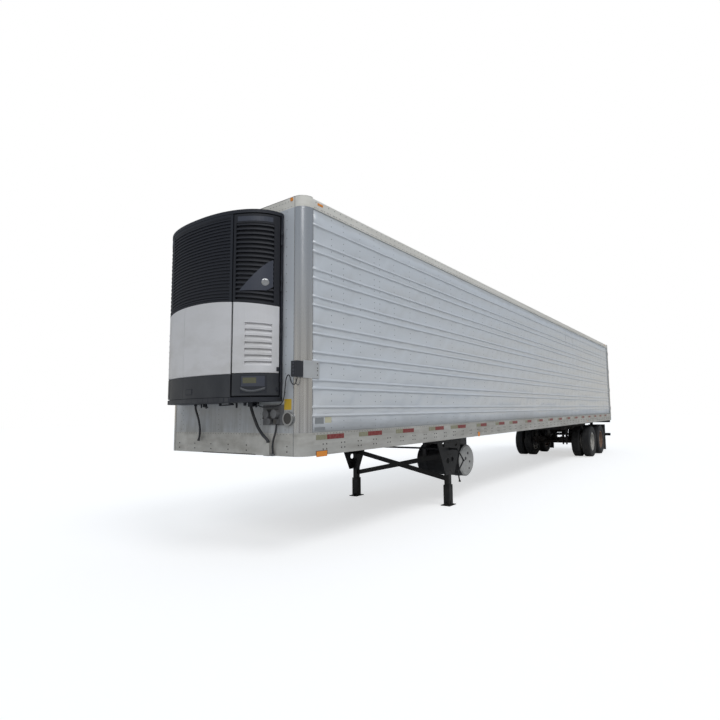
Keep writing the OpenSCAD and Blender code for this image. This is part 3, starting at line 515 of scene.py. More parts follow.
grown("rail_bolts", bolts, bolt(0.004))
start, stop = long_y[0] * 1000, long_y[1] * 1000
folds = [((side * (HALF_MM - 1), start + 2, z - 2.5), (side * (HALF_MM + rise), stop - 2, z + 2.5))
         for side in (-1, 1) for z, rise in ((1305, 2.2), (1386, 1.2), (1226, 1.2))]
shape("rail_folds", blocks(*folds, ((-1150, -1.5, 1303), (1150, 1, 1308))), rail_grey)
bows = [((-1225, 400 + k * 610, ROOF_MM - 4.2), (1225, 440 + k * 610, ROOF_MM - 1.5)) for k in range(26)]
shape("roof_bow_lines", blocks(*bows), roof_sheet)
ribs = [((k * 35 - 8, 130, 1394), (k * 35 + 8, stop + 10, 1403)) for k in range(-34, 35)]
shape("floor_ribs", blocks(*ribs), floor_metal)
inner_x = wall_low.x * 1000
liner = []
for side in (-1, 1):
    for z0, z1, thick in ((1404, 1800, 5), (1800, 1812, 9), (2590, 2650, 9)):
        liner.append(((side * (inner_x - thick), 130, z0), (side * (inner_x + 1), stop - 5, z1)))
    for y in range(1450, 1450 + 12 * 1220, 1220):
        liner.append(((side * (inner_x - 2), y - 12, 1812), (side * (inner_x + 1), y + 12, 3950)))
shape("interior_liner", blocks(*liner), floor_metal)

# ---------------------------------------------------------------- marker tape and lamps
# Reflective tape in short strips of white and red, weathered to olive and dark red, and
# amber markers along the rail and over the corners.
def merged(*stocks):
    """One stock that holds several."""
    corners, sides = [], []
    for more, faces in stocks:
        sides.extend([k + len(corners) for k in face] for face in faces)
        corners.extend(more)
    return corners, sides


tape_white = plain_finish("tape_white", (0.25, 0.24, 0.155), 0.35)
dirt_and_painted_light(tape_white, (0.50, 0.48, 0.40), 0, 3, 0.6, (40, 40, 40))
tape_red = plain_finish("tape_red", (0.21, 0.020, 0.022), 0.35)
dirt_and_painted_light(tape_red, (0.42, 0.22, 0.18), 0, 3, 0.5, (30, 30, 30))
STRIPS = [(0.199, 0.373, 0.661), (0.936, 1.113, 1.405), (1.722, 1.891, 2.171), (2.586, 2.779, 3.044),
          (3.275, 3.518, 3.811), (4.244, 4.411, 4.671), (5.087, 5.258, 5.537), (5.802, 5.967, 6.253),
          (6.739, 6.866, 7.129)]         # where white starts, red starts and red ends
while STRIPS[-1][2] + 0.9 < TAIL - NOSE:
    STRIPS.append(tuple(v + 0.815 for v in STRIPS[-1]))
for word, finish, first in (("white", tape_white, 0), ("red", tape_red, 1)):
    strips = [((side * (HALF_MM - 1), strip[first] * 1000, 1312),
               (side * (HALF_MM + 1.6), strip[first + 1] * 1000, 1368))
              for side in (-1, 1) for strip in STRIPS]
    shape(f"tape_{word}_strips", blocks(*strips), finish)
amber = plain_finish("amber_lens", (0.85, 0.28, 0.02), 0.22, 0.0, 0.4)
lamps, round_lamps, cups = [], [], []
for side in (-1, 1):
    edge = side * HALF_MM
    for y0, y1, z0, z1, rise in ((205, 373, 1124, 1186, 4.6), (215, 300, 4040, 4066, 4.4),
                                 (15600, 15685, 4040, 4066, 4.4)):
        lamps.append(((edge - 1, y0, z0), (edge + side * rise, y1, z1)))
    cups.append(((edge - 1, 198, 1141), (edge + side * 2.0, 380, 1191)))
    round_lamps += [((edge, 4330, 1176), (edge + side * 4.6, 4330, 1176), 46, 24, 38),
                    ((edge, 12400, 1195), (edge + side * 4.4, 12400, 1195), 24, 16, 18),
                    ((side * 1100, -9, 4080), (side * 1100, 2, 4080), 22, 16)]
lamps += [((x - 38, -8, 4064), (x + 38, 1, 4092)) for x in (-150, 0, 150)]
shape("amber_markers", merged(blocks(*lamps), rods(*round_lamps)), amber,
      edge=0.0015, steps=2)
shape("marker_cups", blocks(*cups), dark_bolt)

# ---------------------------------------------------------------- front wall and corners
# A flat riveted wall between two bright rolled corners. Road film darkens its foot; the
# corners carry vertical scuffs and painted vertical streaks of reflection, and two clean
# lines show where sheets meet.
front_white = plain_finish("front_skin", (0.54, 0.565, 0.60), 0.36, 0.0, 0.15)
dirt_and_painted_light(front_white, (0.36, 0.34, 0.30), 1.2, 2.3, 0.85, (1.4, 1.4, 2.6), 2.0, 0.08)
dirt_and_painted_light(front_white, (0.20, 0.19, 0.17), 1.35, 1.95, 0.55, (16, 16, 1.6), 12.0, 0.05)
rippled(front_white, 1.4, 0.004)
recoat("front_wall", front_white)
bright = plain_finish("bright_corner", (0.52, 0.52, 0.53), 0.22, 0.85)
dirt_and_painted_light(bright, (0.13, 0.12, 0.11), 1.2, 3.1, 0.9, (26, 26, 0.6), 6.0, 0.05)
# Painted reflection: long bright vertical streaks in the corners' colour stand in for reflections in the
# rolled metal.
dirt_and_painted_light(bright, (0.85, 0.84, 0.82), 1.2, 5.0, 0.7, (12, 12, 0.12), 9.0, 0.05)
rippled(bright, 3.0, 0.002, (9, 9, 0.4))
recoat("nose_corners", bright)
WALL_FOOT, WALL_HEAD = 1.43, 3.97        # first and last rivet of a column
spots = []
for side in (-1, 1):
    for x, pitch in ((1.147, RIVET_PITCH), (1.02, 0.105)):
        spots += [((side * x, FRONT_Y, z), FORWARD) for z in np.arange(WALL_FOOT, WALL_HEAD, pitch)]
    spots += [((side * (skin_x + PROUD), NOSE + 0.152, z), (side, 0, 0))
              for z in np.arange(WALL_FOOT, WALL_HEAD, RIVET_PITCH)]
spots += [((x, FRONT_Y, z), FORWARD) for x in (-0.98, -0.62, -0.2, 0.22, 0.6)
          for z in np.arange(WALL_FOOT, 1.75, 0.062)]
grown("front_rivets", spots, rail_rivet)
seams = []
for side in (-1, 1):
    seams += [((side * 1150 - 3, -1.2, 1142), (side * 1150 + 3, 1, 4105)),
              ((side * (HALF_MM - 9.5), 140, 1396), (side * (HALF_MM - 1.5), 147, 3979))]
sealer = plain_finish("seam_sealer", (0.16, 0.16, 0.165), 0.6)
shape("corner_seams", blocks(*seams), sealer)
CORNER = 140                             # radius of the rolled corners, in millimetres
SEAL_W, SEAL_H = 9, 7                    # of the sealer round the roof's edge
ring = []
for k in range(13):
    turn = math.pi / 2 * k / 12
    ring.append((HALF_MM - CORNER + CORNER * math.cos(turn), CORNER - CORNER * math.sin(turn)))
inset = HALF_MM - 25
outer = [(inset, 16000), (inset, 150), *ring, *[(-x, y) for x, y in reversed(ring)], (-inset, 150),
         (-inset, 16000)]
drip = ([], [])
for (x0, y0), (x1, y1) in zip(outer, outer[1:]):
    lead = Vector((x1 - x0, y1 - y0, 0)).normalized()
    dx, dy = lead.y * SEAL_W, -lead.x * SEAL_W
    plan = [(x0, y0), (x1, y1), (x1 + dx, y1 + dy), (x0 + dx, y0 + dy)]
    loft(drip, *[[at(x, y, z) for x, y in plan] for z in (ROOF_MM - SEAL_H, ROOF_MM)])
shape("roof_edge_sealer", drip, sealer)

# ---------------------------------------------------------------- refrigeration unit
# A moulded cowl in three leaves over a frame bolted to the front wall: a fixed front leaf
# and two wrap-round doors. Each has a dark grille, a white skirt and a charcoal band.
COWL_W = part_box("unit_frame")[1].x - 0.017               # half width of the cowl at the wall
COWL_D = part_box("unit_front_panel")[0].y - NOSE
COWL_POWER = 2.3                         # squareness of its plan
BAND_TOP, ARCH_TOP = 2.06, 2.90          # where the band ends and, at the middle, the skirt
COWL_FOOT, COWL_HEAD = (corner.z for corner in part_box("unit_front_panel"))
DOOR_FOOT, DOOR_HEAD = (corner.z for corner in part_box("unit_door_left"))


def cowl(x, z, out):
    """A point on the cowl at that distance from the centreline, out metres off its skin."""
    u = min(abs(x) / COWL_W, 0.99999)
    y = (1 - u ** COWL_POWER) ** (1 / COWL_POWER)
    lean = Vector((math.copysign(u ** (COWL_POWER - 1), x) / COWL_W,
                   y ** (COWL_POWER - 1) / COWL_D, 0)).normalized()
    return Vector((x, NOSE + y * COWL_D, z)) + lean * out


def arch(x):
    """Height of the line where the grille meets the white skirt."""
    return ARCH_TOP - 0.075 * (x / COWL_W) ** 2


def under_arch(x):
    """Height of the white skirt's head."""
    return arch(x) - 0.004


def leaf(title, xs, steps, finish, body="trailer", back=-0.02, lower=None, upper=None,
         inside=None, rim=-0.002):
    """One moulded leaf. Steps gives its skin's offset at each level, and rim the offset where
    inside says no; back is its inner face's offset; lower and upper bend its foot and head."""
    zs = list(steps)
    corners, sides = [], []
    n, m = len(xs), len(zs)
    for behind in (False, True):
        for x in xs:
            foot = lower(x) if lower else zs[0]
            head = upper(x) if upper else zs[-1]
            stepped = inside is None or inside(x)
            for z in zs:
                here = foot + (head - foot) * (z - zs[0]) / (zs[-1] - zs[0])
                out = steps[z] if stepped else rim
                corners.append(cowl(x, here, back if behind else out))
    for k in range(n - 1):
        for a in range(k * m, k * m + m - 1):
            b = a + n * m
            sides += [[a, a + m, a + m + 1, a + 1], [b, b + 1, b + m + 1, b + m]]
    ends = [(k * m + j, (k + 1) * m + j) for k in range(n - 1) for j in (0, m - 1)]
    ends += [(k * m + j, k * m + j + 1) for j in range(m - 1) for k in (0, n - 1)]
    sides += [[a, b, b + n * m, a + n * m] for a, b in ends]
    return shape(title, (corners, sides), finish, body)


def ramp(a, b, n):
    """Evenly spaced numbers from a to b."""
    return [a + (b - a) * k / (n - 1) for k in range(n)]


grille_dark = plain_finish("unit_grille", (0.007, 0.009, 0.017), 0.6)
dirt_and_painted_light(grille_dark, (0.022, 0.024, 0.028), 1.5, 5.5, 0.5, (1.2, 1.2, 2), 2.0)
skirt_white = plain_finish("unit_white", (0.69, 0.68, 0.69), 0.42, 0.0, 0.1)
dirt_and_painted_light(skirt_white, (0.42, 0.40, 0.37), 2.0, 3.2, 0.5, (2, 2, 5), 4.0)
rippled(skirt_white, 160.0, 0.0005)
band_dark = plain_finish("unit_band", (0.026, 0.028, 0.034), 0.5)
dirt_and_painted_light(band_dark, (0.095, 0.097, 0.10), 1.5, 2.3, 0.6, (3, 3, 2), 7.0)
frame_dark = plain_finish("unit_frame_dark", (0.014, 0.016, 0.024), 0.55, 0.1)
dirt_and_painted_light(frame_dark, (0.07, 0.07, 0.07), 1.6, 2.6, 0.4, (6, 6, 6))
recoat("unit_frame", frame_dark)
recoat("unit_engine", plain_finish("engine_iron", (0.16, 0.16, 0.17), 0.6, 0.5))

# Front leaf: fine level ribs above a double moulding, two skirt panels and two band panels.
# All of it is screwed to the frame.
PITCH = 0.0375                           # of the fine ribs
LEAF_X = (-0.608, 0.597)
BORDER = 0.03                            # plain border at the leaf's sides
SEAM_X = -0.20                           # where the two skirt panels meet
rib_foot, rib_head = ARCH_TOP + 0.055, COWL_HEAD - 0.03
rise_of = {ARCH_TOP + dz: out for dz, out in
           ((0.004, -0.006), (0.006, -0.003), (0.020, -0.003), (0.022, -0.012), (0.030, -0.012),
            (0.032, -0.003), (0.046, -0.003), (0.048, -0.014))}
for k in range(int((rib_head - rib_foot) / PITCH)):
    for part, out in ((0.0, -0.016), (0.08, -0.004), (0.42, -0.0035), (0.55, -0.016)):
        rise_of[rib_foot + (k + part) * PITCH] = out
rise_of[rib_head + 0.002] = rise_of[COWL_HEAD - 0.002] = -0.003
leaf_xs = [LEAF_X[0], LEAF_X[0] + 0.0299, LEAF_X[0] + 0.031, *ramp(-0.54, 0.53, 27),
           LEAF_X[1] - 0.031, LEAF_X[1] - 0.0299, LEAF_X[1]]
front_grille = leaf("unit_front_grille", leaf_xs, rise_of, grille_dark, back=-0.028,
                    lower=arch, inside=lambda x: LEAF_X[0] + BORDER <= x <= LEAF_X[1] - BORDER,
                    rim=-0.003)
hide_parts("unit_front_panel")
PANELS = (("left", SEAM_X + 0.002, LEAF_X[1]), ("right", LEAF_X[0], SEAM_X - 0.002))
for word, a, b in PANELS:
    leaf(f"unit_skirt_{word}", ramp(a, b, 18),
         {BAND_TOP: -0.006, BAND_TOP + 0.006: -0.002, ARCH_TOP - 0.008: -0.002, ARCH_TOP - 0.003: -0.006},
         skirt_white, upper=under_arch)
    leaf(f"unit_band_{word}", ramp(a, b, 18),
         {COWL_FOOT: -0.008, COWL_FOOT + 0.006: -0.004, BAND_TOP - 0.010: -0.004, BAND_TOP - 0.004: -0.008},
         band_dark, back=-0.022)
pan_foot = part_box("unit_frame")[0].z + 0.018
for word, a, b in reversed(PANELS):
    leaf(f"unit_pan_trim_{word}", ramp(a, b, 18),
         {pan_foot: -0.006, pan_foot + 0.006: 0.0, COWL_FOOT - 0.001: 0.0}, band_dark,
         back=-0.012)
leaf("unit_latch_recess", ramp(-0.13, 0.0, 6), dict.fromkeys((1.845, 1.915), -0.0015), frame_dark,
     back=-0.01)
leaf("unit_latch", ramp(-0.118, -0.012, 6), dict.fromkeys((1.853, 1.907), -0.0006), band_dark,
     back=-0.008)

# Corner doors: a louvred grille in a frame, a white skirt with pressed vents and a band.
# The road side band holds the control panel over a scooped grab handle.
grille_deep = plain_finish("door_grille", (0.0035, 0.0045, 0.010), 0.6)
dirt_and_painted_light(grille_deep, (0.016, 0.018, 0.024), 1.5, 5.5, 0.5, (1.2, 1.2, 2), 2.0)
plate_steel = plain_finish("plate_silver", (0.38, 0.38, 0.38), 0.3, 0.8)
plate_dark = plain_finish("plate_dark", (0.05, 0.055, 0.075), 0.35)
grip_grey = plain_finish("grip_grey", (0.075, 0.078, 0.085), 0.38)
screen = plain_finish("control_screen", (0.10, 0.10, 0.06), 0.15, 0.0, 0.5)
LOUVRES, LOUVRE_FOOT, LOUVRE_HEAD = 17, ARCH_TOP + 0.032, 3.775
louvre = (LOUVRE_HEAD - LOUVRE_FOOT) / LOUVRES
slats = dict.fromkeys((ARCH_TOP + 0.004, ARCH_TOP + 0.03), -0.002)
for k in range(LOUVRES):
    for part, out in ((0.0, -0.026), (0.42, -0.026), (0.5, -0.002), (0.94, -0.009)):
        slats[LOUVRE_FOOT + (k + part) * louvre] = out
slats[LOUVRE_HEAD + 0.002] = slats[DOOR_HEAD - 0.003] = -0.002
VENTS, VENT_PITCH, VENT_FOOT = 7, 0.0755, 2.212
vents = {BAND_TOP + 0.008: -0.002}
for k in range(VENTS):
    top = VENT_FOOT + k * VENT_PITCH
    vents.update({top - 0.058: -0.002, top - 0.012: -0.026, top - 0.006: 0.002, top: -0.002})
vents[ARCH_TOP - 0.012] = -0.002
band = {DOOR_FOOT + 0.002: -0.010, DOOR_FOOT + 0.010: -0.002, BAND_TOP - 0.006: -0.002,
        BAND_TOP + 0.004: -0.010}
GRILLE_XS = (0.611, 0.6395, 0.6415, 0.66, *ramp(0.70, 0.90, 8), 0.93, 0.95, 0.9625, 0.9640, 0.973, 0.981)
SKIRT_XS = (0.619, 0.68, 0.751, 0.7525, *ramp(0.78, 0.94, 8), 0.957, 0.9585, 0.968, 0.976, 0.981)
BAND_XS = (*ramp(0.619, 0.95, 14), 0.965, 0.976, 0.981)
for side, word in ((1, "left"), (-1, "right")):
    body = f"unit_service_door_{word}"
    grille = leaf(f"unit_door_grille_{word}", [side * x for x in GRILLE_XS], slats, grille_deep,
                  body, -0.034, arch, inside=lambda x: 0.641 < abs(x) < 0.9635)
    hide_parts(f"unit_door_{word}")
    leaf(f"unit_door_skirt_{word}", [side * x for x in SKIRT_XS], vents, skirt_white, body,
         -0.026, upper=under_arch, inside=lambda x: 0.752 < abs(x) < 0.9575)
    leaf(f"unit_door_band_{word}", [side * x for x in BAND_XS], band, band_dark, body,
         -0.026)
    leaf(f"unit_name_strip_{word}", [side * x for x in ramp(0.655, 0.958, 12)],
         dict.fromkeys((3.792, 3.848), -0.0004), plate_dark, body, -0.006)
    if side == 1:
        for title, xs, levels, out, finish, slot, back in (
                ("control_recess", (0.712, 0.935, 10), (1.842, 2.042), -0.0005, frame_dark,
                 "unit_frame_dark", -0.010),
                ("control_face", (0.724, 0.922, 9), (1.918, 2.032), 0.0006, plate_dark,
                 "unit_grille", -0.006),
                ("control_screen", (0.740, 0.862, 6), (1.952, 2.014), 0.0012, screen,
                 "unit_grille", -0.004)):
            leaf(title, ramp(*xs), dict.fromkeys(levels, out), finish, body, back)
        leaf("door_grab_handle", ramp(0.722, 0.925, 14), {1.850: 0.006, 1.866: 0.014, 1.882: 0.006},
             grip_grey, body, -0.006,
             lambda x: 1.850 + 3.0 * (x - 0.8235) ** 2, lambda x: 1.878 + 3.0 * (x - 0.8235) ** 2)
        leaf("unit_fin_plate", ramp(0.690, 0.960, 16), dict.fromkeys((2.990, 3.350), 0.0012),
             plate_dark, body, -0.004, lambda x: 2.990 + 1.6 * max(x - 0.93, 0),
             lambda x: 2.997 + 0.353 * max((x - 0.690) / 0.270, 0) ** 1.05)
        badge = ([], [])
        loft(badge, *[[cowl(0.916 + r * math.cos(a) * 0.6, 3.085 + r * math.sin(a), out)
                       for a in ramp(0, 2 * math.pi * 23 / 24, 24)]
                      for r, out in ((0.042, 0.0005), (0.042, 0.004), (0.030, 0.008))])
        shape("unit_round_badge", badge, plate_steel, body)
    catches = [((side * 988, -96, z - 22), (side * 972, -64, z + 22)) for z in (2110, 1885)]
    shape(f"unit_door_catches_{word}", blocks(*catches), frame_dark, body, edge=0.003)

# ---------------------------------------------------------------- fittings under the unit
# Valves and stubs under the pan, the grey coupling plate, a round port, the status lamp
# box on its bracket and small blank plates.
fit_grey = plain_finish("panel_grey", (0.17, 0.17, 0.175), 0.55, 0.2)
dirt_and_painted_light(fit_grey, (0.04, 0.04, 0.04), 1.0, 2.2, 0.8, (14, 14, 14))
recoat("air_coupling_panel", fit_grey)
stubs = [((x, y, 1752), (x, y, 1752 - drop), r, 14, r * 0.8) for x, y, r, drop in
         ((-300, -140, 18, 42), (-240, -150, 12, 60), (60, -160, 16, 34), (250, -150, 26, 30),
          (330, -130, 13, 62), (470, -120, 20, 40), (-420, -100, 10, 50))]
stubs += [((-260, -150, 1714), (-190, -165, 1708), 9, 12), ((60, -160, 1724), (300, -150, 1730), 8, 12),
          ((600, -85, 1722), (640, -92, 1702), 14, 14)]
shape("pan_valves", merged(rods(*stubs), blocks(((520, -118, 1700), (600, -52, 1751)))), frame_dark)
seals = [((1080, -23, 1558), (1080, -7, 1558), 64, 28)]
for x in (755, 890):
    seals += [((x, -61, 1612), (x, -50, 1612), 38, 24), ((x - 30, -56, 1588), (x - 44, -56, 1560), 9, 10)]
shape("coupling_seals", merged(rods(*seals), blocks(((880, -52, 1502), (930, -48, 1552)))), dark_bolt)
rim_ring = ([], [])
for a0, a1 in zip(ramp(0, 2 * math.pi, 29), ramp(0, 2 * math.pi, 29)[1:]):
    loft(rim_ring, *[[at(1080 + r * math.cos(a), y, 1558 + r * math.sin(a))
                      for r, a in ((62, a0), (80, a0), (80, a1), (62, a1))] for y in (-27, -2)])
shape("round_port_rim", rim_ring, plate_steel)
black_case = plain_finish("box_black", (0.018, 0.02, 0.028), 0.4)
lamp_box = shape("status_lamp_box", blocks(((1205, -95, 2013), (1299.5, 4, 2187))), black_case,
                 edge=0.006, steps=2)
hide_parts("status_box")
plate_pale = plain_finish("bracket_plate", (0.55, 0.56, 0.57), 0.4, 0.3)
dirt_and_painted_light(plate_pale, (0.3, 0.3, 0.3), 1, 3, 0.5, (9, 9, 9))
shape("status_box_bracket", blocks(((1295, 2, 2002), (1299.6, 245, 2198))), plate_pale)
lenses = [((1249, -99, z), (1249, -94, z), 11, 14) for z in (2160, 2123, 2086, 2049)]
shape("status_lenses", rods(*lenses), plate_dark)
spots = [((1.2995, NOSE + 0.215, z), (1, 0, 0)) for z in (2.04, 2.09, 2.12, 2.17)]
grown("bracket_bolts", spots, bolt(0.0004))
skin_mm = skin_x * 1000
on_skin, off_skin = skin_mm - 1, skin_mm + 1.2
PLATES = (
    # piece, finish, colour, roughness, slot, boxes
    ("yellow_plate", "yellow_plate", (0.62, 0.40, 0.03), 0.45, "front_skin",
     [((1002, -1.6, 1655), (1118, 1, 1775))]),
    ("grey_plates", "grey_plate", (0.25, 0.26, 0.27), 0.4, "side_skin",
     [((on_skin, 190, 1492), (off_skin, 330, 1562)), ((on_skin, 185, 1412), (off_skin, 350, 1452))]),
    ("cream_plate", "cream_plate", (0.58, 0.55, 0.40), 0.5, "side_skin",
     [((on_skin, 350, 1500), (off_skin, 455, 1566))]),
    ("side_outline", "outline_grey", (0.30, 0.31, 0.33), 0.5, "side_skin",
     [((skin_mm - 2, y0, z0), (skin_mm + 0.8, y1, z1)) for y0, y1, z0, z1 in
      ((10340, 11050, 3492, 3496), (10340, 11050, 3916, 3920), (10340, 10344, 3492, 3920),
       (11046, 11050, 3492, 3920))]),
)
for title, finish_name, colour, rough, slot, places in PLATES:
    shape(title, blocks(*places), plain_finish(finish_name, colour, rough))
shroud = [((x, -50, z), (x, -54, z), 7, 10) for z in (1165, 1265) for x in (735, 785)]
shape("hose_end_cover", merged(blocks(((713, -50, 1143), (807, 0.5, 1287))), rods(*shroud)), rail_grey,
      edge=0.003)
shape("coupler_lip_edge", blocks(((-520, -2, 1139), (520, 58, 1150))), dark_bolt)

# ---------------------------------------------------------------- coupler and cross members
# Black coupler plate with a bare greased kingpin, and painted steel beams under the floor.
chassis = plain_finish("chassis_black", (0.009, 0.009, 0.010), 0.5, 0.1)
dirt_and_painted_light(chassis, (0.06, 0.052, 0.045), 0.0, 0.8, 0.45, (7, 7, 7), 3.0)
beam_paint = plain_finish("crossmember_steel", (0.022, 0.021, 0.021), 0.6, 0.1)
dirt_and_painted_light(beam_paint, (0.075, 0.050, 0.035), 0.0, 2.5, 0.5, (4, 4, 4), 5.0)
for node in ("coupler_plate", "underride_guard", "landing_legs", "landing_feet", "landing_wing_plates",
             "landing_brace", "landing_crank"):
    recoat(node, chassis)
for node in ("crossmembers", "slide_rails", "bogie_frame"):
    recoat(node, beam_paint)
recoat("kingpin", plain_finish("kingpin_steel", (0.30, 0.30, 0.31), 0.3, 0.9))
low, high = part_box("coupler_plate")
spots = [((x, y, low.z), (0, 0, -1)) for x in np.arange(low.x + 0.05, high.x, 0.092)
         for y in (low.y + 0.11, high.y - 0.05)]
grown("coupler_bolts", spots, bolt(0.005))

# ---------------------------------------------------------------- landing gear
# Two telescoping legs on bolted wing plates, joined by a cross shaft and a brace, with a
# gearbox and a crank on the road side. The feet stand on pins.
LEG_HALF = 45                            # half width of a leg, in millimetres
SHAFT_Z = 955                            # height of the cross shaft
low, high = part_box("landing_legs")
leg_y = ((low.y + high.y) / 2 - NOSE) * 1000
leg_x = high.x * 1000 - LEG_HALF
gear_x = leg_x - LEG_HALF
collars, pins = [((gear_x - 62, leg_y - 46, 896), (gear_x - 57, leg_y + 46, 1012))], []
for side in (-1, 1):
    x, y = side * leg_x, leg_y
    for z, grow in ((334, 16), (560, 4), (905, 4)):
        far = LEG_HALF + grow
        collars.append(((x - far, y - far, z), (x + far, y + far, z + 12)))
    for end in (-1, 1):
        face = y + end * LEG_HALF
        collars += [((x - 36, face - 8, 1010), (x + 36, face + 8, 1120)),
                    ((x + end * 64 - 5, y - 26, 12), (x + end * 64 + 5, y + 26, 76))]
    pins += [((x - 70, y, 62), (x + 70, y, 62), 15, 16),
             ((x, y - LEG_HALF - 2, 640), (x, y - LEG_HALF - 13, 640), 14, 12)]
pins += [((gear_x - 66, leg_y, SHAFT_Z), (gear_x - 56, leg_y, SHAFT_Z), 34, 20),
         ((leg_x + 44, leg_y, SHAFT_Z), (leg_x + 60, leg_y, SHAFT_Z), 30, 18)]
shape("leg_trims", merged(blocks(*collars), rods(*pins)), chassis, edge=0.002)
plate_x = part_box("landing_wing_plates")[1].x
spots = []
for side in (-1, 1):
    for x, out in ((plate_x - 0.008, -side), (plate_x, side)):
        spots += [((side * x, NOSE + leg_y / 1000 + dy, z), (out, 0, 0))
                  for dy in (-0.36, -0.26, 0.26, 0.36) for z in (1.10, 1.02)]
    spots += [((side * plate_x, NOSE + leg_y / 1000 + dy, z), (side, 0, 0))
              for dy in (-0.035, 0.035) for z in (1.06, 0.86, 0.72, 0.58)]
grown("leg_bolts", spots, bolt(0.007))

# ---------------------------------------------------------------- fuel tank
# A rolled aluminium drum hung in two straps, with a pale end, a filler cap, seam beads and
# a few plugs. The drum's body, bands and plugs are painted near black for the shade on
# them; the end keeps the aluminium's own pale tone.
# Painted shade: the drum's aluminium is given a near black colour for the shade it stands in.
tank_painted_shade = plain_finish("tank_aluminium", (0.045, 0.045, 0.048), 0.40, 0.3)
dirt_and_painted_light(tank_painted_shade, (0.025, 0.023, 0.022), 0.35, 1.05, 0.8, (6, 6, 6), 1.0)
tank_end = plain_finish("tank_end_aluminium", (0.46, 0.455, 0.44), 0.45, 0.1)
dirt_and_painted_light(tank_end, (0.26, 0.25, 0.24), 0.3, 1.3, 0.7, (14, 14, 14), 6.0)
recoat("fuel_tank", tank_painted_shade)
recoat("tank_straps", plain_finish("tank_strap", (0.06, 0.06, 0.065), 0.5, 0.3))
low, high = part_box("fuel_tank")
tank_y, tank_z = ((low.y + high.y) / 2 - NOSE) * 1000, (low.z + high.z) / 2 * 1000
drum_r = (high.z - low.z) / 2 * 1000
tank_in, tank_out = low.x * 1000, high.x * 1000


def disc(x0, x1, radius, n, tip=None, dy=0, dz=0):
    """A round bar along the tank's axis, or dy and dz beside it."""
    return ((x0, tank_y + dy, tank_z + dz), (x1, tank_y + dy, tank_z + dz), radius, n, tip)


cap_y = tank_y - drum_r * 0.7
filler = ((965, cap_y, tank_z + drum_r * 0.86), (965, cap_y, tank_z + drum_r * 0.98), 50, 24, 46)
bands = [disc(x - w, x + w, drum_r * grow, 64) for x, grow, w in
         ((tank_out - 28, 1.004, 7), (tank_in + 28, 1.004, 7), (530, 1.003, 5))]
# The bands and the filler take the drum's painted shade too.
shape("tank_bands", rods(*bands, filler), tank_painted_shade)
shape("tank_end_cap", rods(disc(tank_out - 24, tank_out + 1.5, drum_r + 1.5, 64, drum_r - 22),
                           disc(tank_out + 1, tank_out + 6, drum_r - 60, 48, drum_r - 66)),
      tank_end)
plugs = [disc(tank_out + 4, tank_out + 13, r, 18, r - 4, dy, dz) for dy, dz, r in
         ((-70, 40, 30), (85, -30, 22), (20, 130, 26), (60, -150, 18))]
# The plugs take the drum's painted shade too.
shape("tank_plugs", rods(*plugs), tank_painted_shade)

# ---------------------------------------------------------------- slide rails and bogie
# Pressed steel rails with a row of pin holes carry the sliding bogie, with trailing arms,
# air springs, dampers, brake chambers and two tube axles.
low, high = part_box("slide_rails")
spots = [((side * high.x, y, low.z + 0.032), (side, 0, 0)) for side in (-1, 1)
         for y in (low.y + 0.12 + k * 0.1524 for k in range(40)) if y < high.y - 0.08]
hole_tree = scatter_tree("round_holes", "GeometryNodeMeshCone", STUD_SIZES, Vertices=14)
hole_dark = plain_finish("pin_hole_dark", (0.006, 0.006, 0.006), 0.9)
grown("slide_pin_holes", spots, stud(0.0175, 0.0165, 0.0008, hole_dark),
      tree=hole_tree)
axle_paint = plain_finish("axle_paint", (0.020, 0.018, 0.017), 0.6, 0.2)
dirt_and_painted_light(axle_paint, (0.10, 0.058, 0.034), 0.0, 1.6, 0.6, (9, 9, 9), 2.0)
for node in ("suspension_arms", "axles", "brake_chambers"):
    recoat(node, axle_paint)


def turned(stock, outline, centre, axis, n=48):
    """Adds a ring turned about an axis through centre; outline gives (radius, place along it)."""
    corners, sides = stock
    base, m = len(corners), len(outline)
    for k in range(n):
        a = 2 * math.pi * k / n
        for r, w in outline:
            u, v = r * math.cos(a), r * math.sin(a)
            corners.append(centre + Vector((u, v, w) if axis == "z" else (w, u, v)))
    for k in range(n):
        a, b = base + k * m, base + (k + 1) % n * m
        sides.extend([a + j, b + j, b + (j + 1) % m, a + (j + 1) % m] for j in range(m))


axle_ys = {}
for word in ("front", "rear"):
    low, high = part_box(f"tyres_{word}_left")
    axle_ys[word] = (low.y + high.y) / 2
SPRING_X, SPRING_BEHIND = 0.51, 0.33     # of a spring from the middle and behind its axle
low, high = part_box("air_springs")
spring_r, tall = high.x - SPRING_X, high.z - low.z
bulge = [(0.80 + 0.2 * math.sin(math.pi * f), 0.33 + 0.57 * f) for f in ramp(0.08, 0.92, 9)]
outline = [(0.02, 0.0), *[(spring_r * r, tall * w) for r, w in
                          ((0.72, 0), (0.72, 0.3), (0.80, 0.33), *bulge, (0.78, 0.93), (0.78, 1))],
           (0.02, tall)]
bellows = ([], [])
for side in (-1, 1):
    for y in axle_ys.values():
        turned(bellows, outline, Vector((side * SPRING_X, y + SPRING_BEHIND, low.z)), "z", 32)
bag = shape("air_bags", bellows, plain_finish("air_spring_rubber", (0.026, 0.026, 0.028), 0.6),
            "bogie")
bag.data.shade_smooth()
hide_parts("air_springs")
dampers = [((-300, 13600, 870), (300, 13600, 870), 95, 28)]
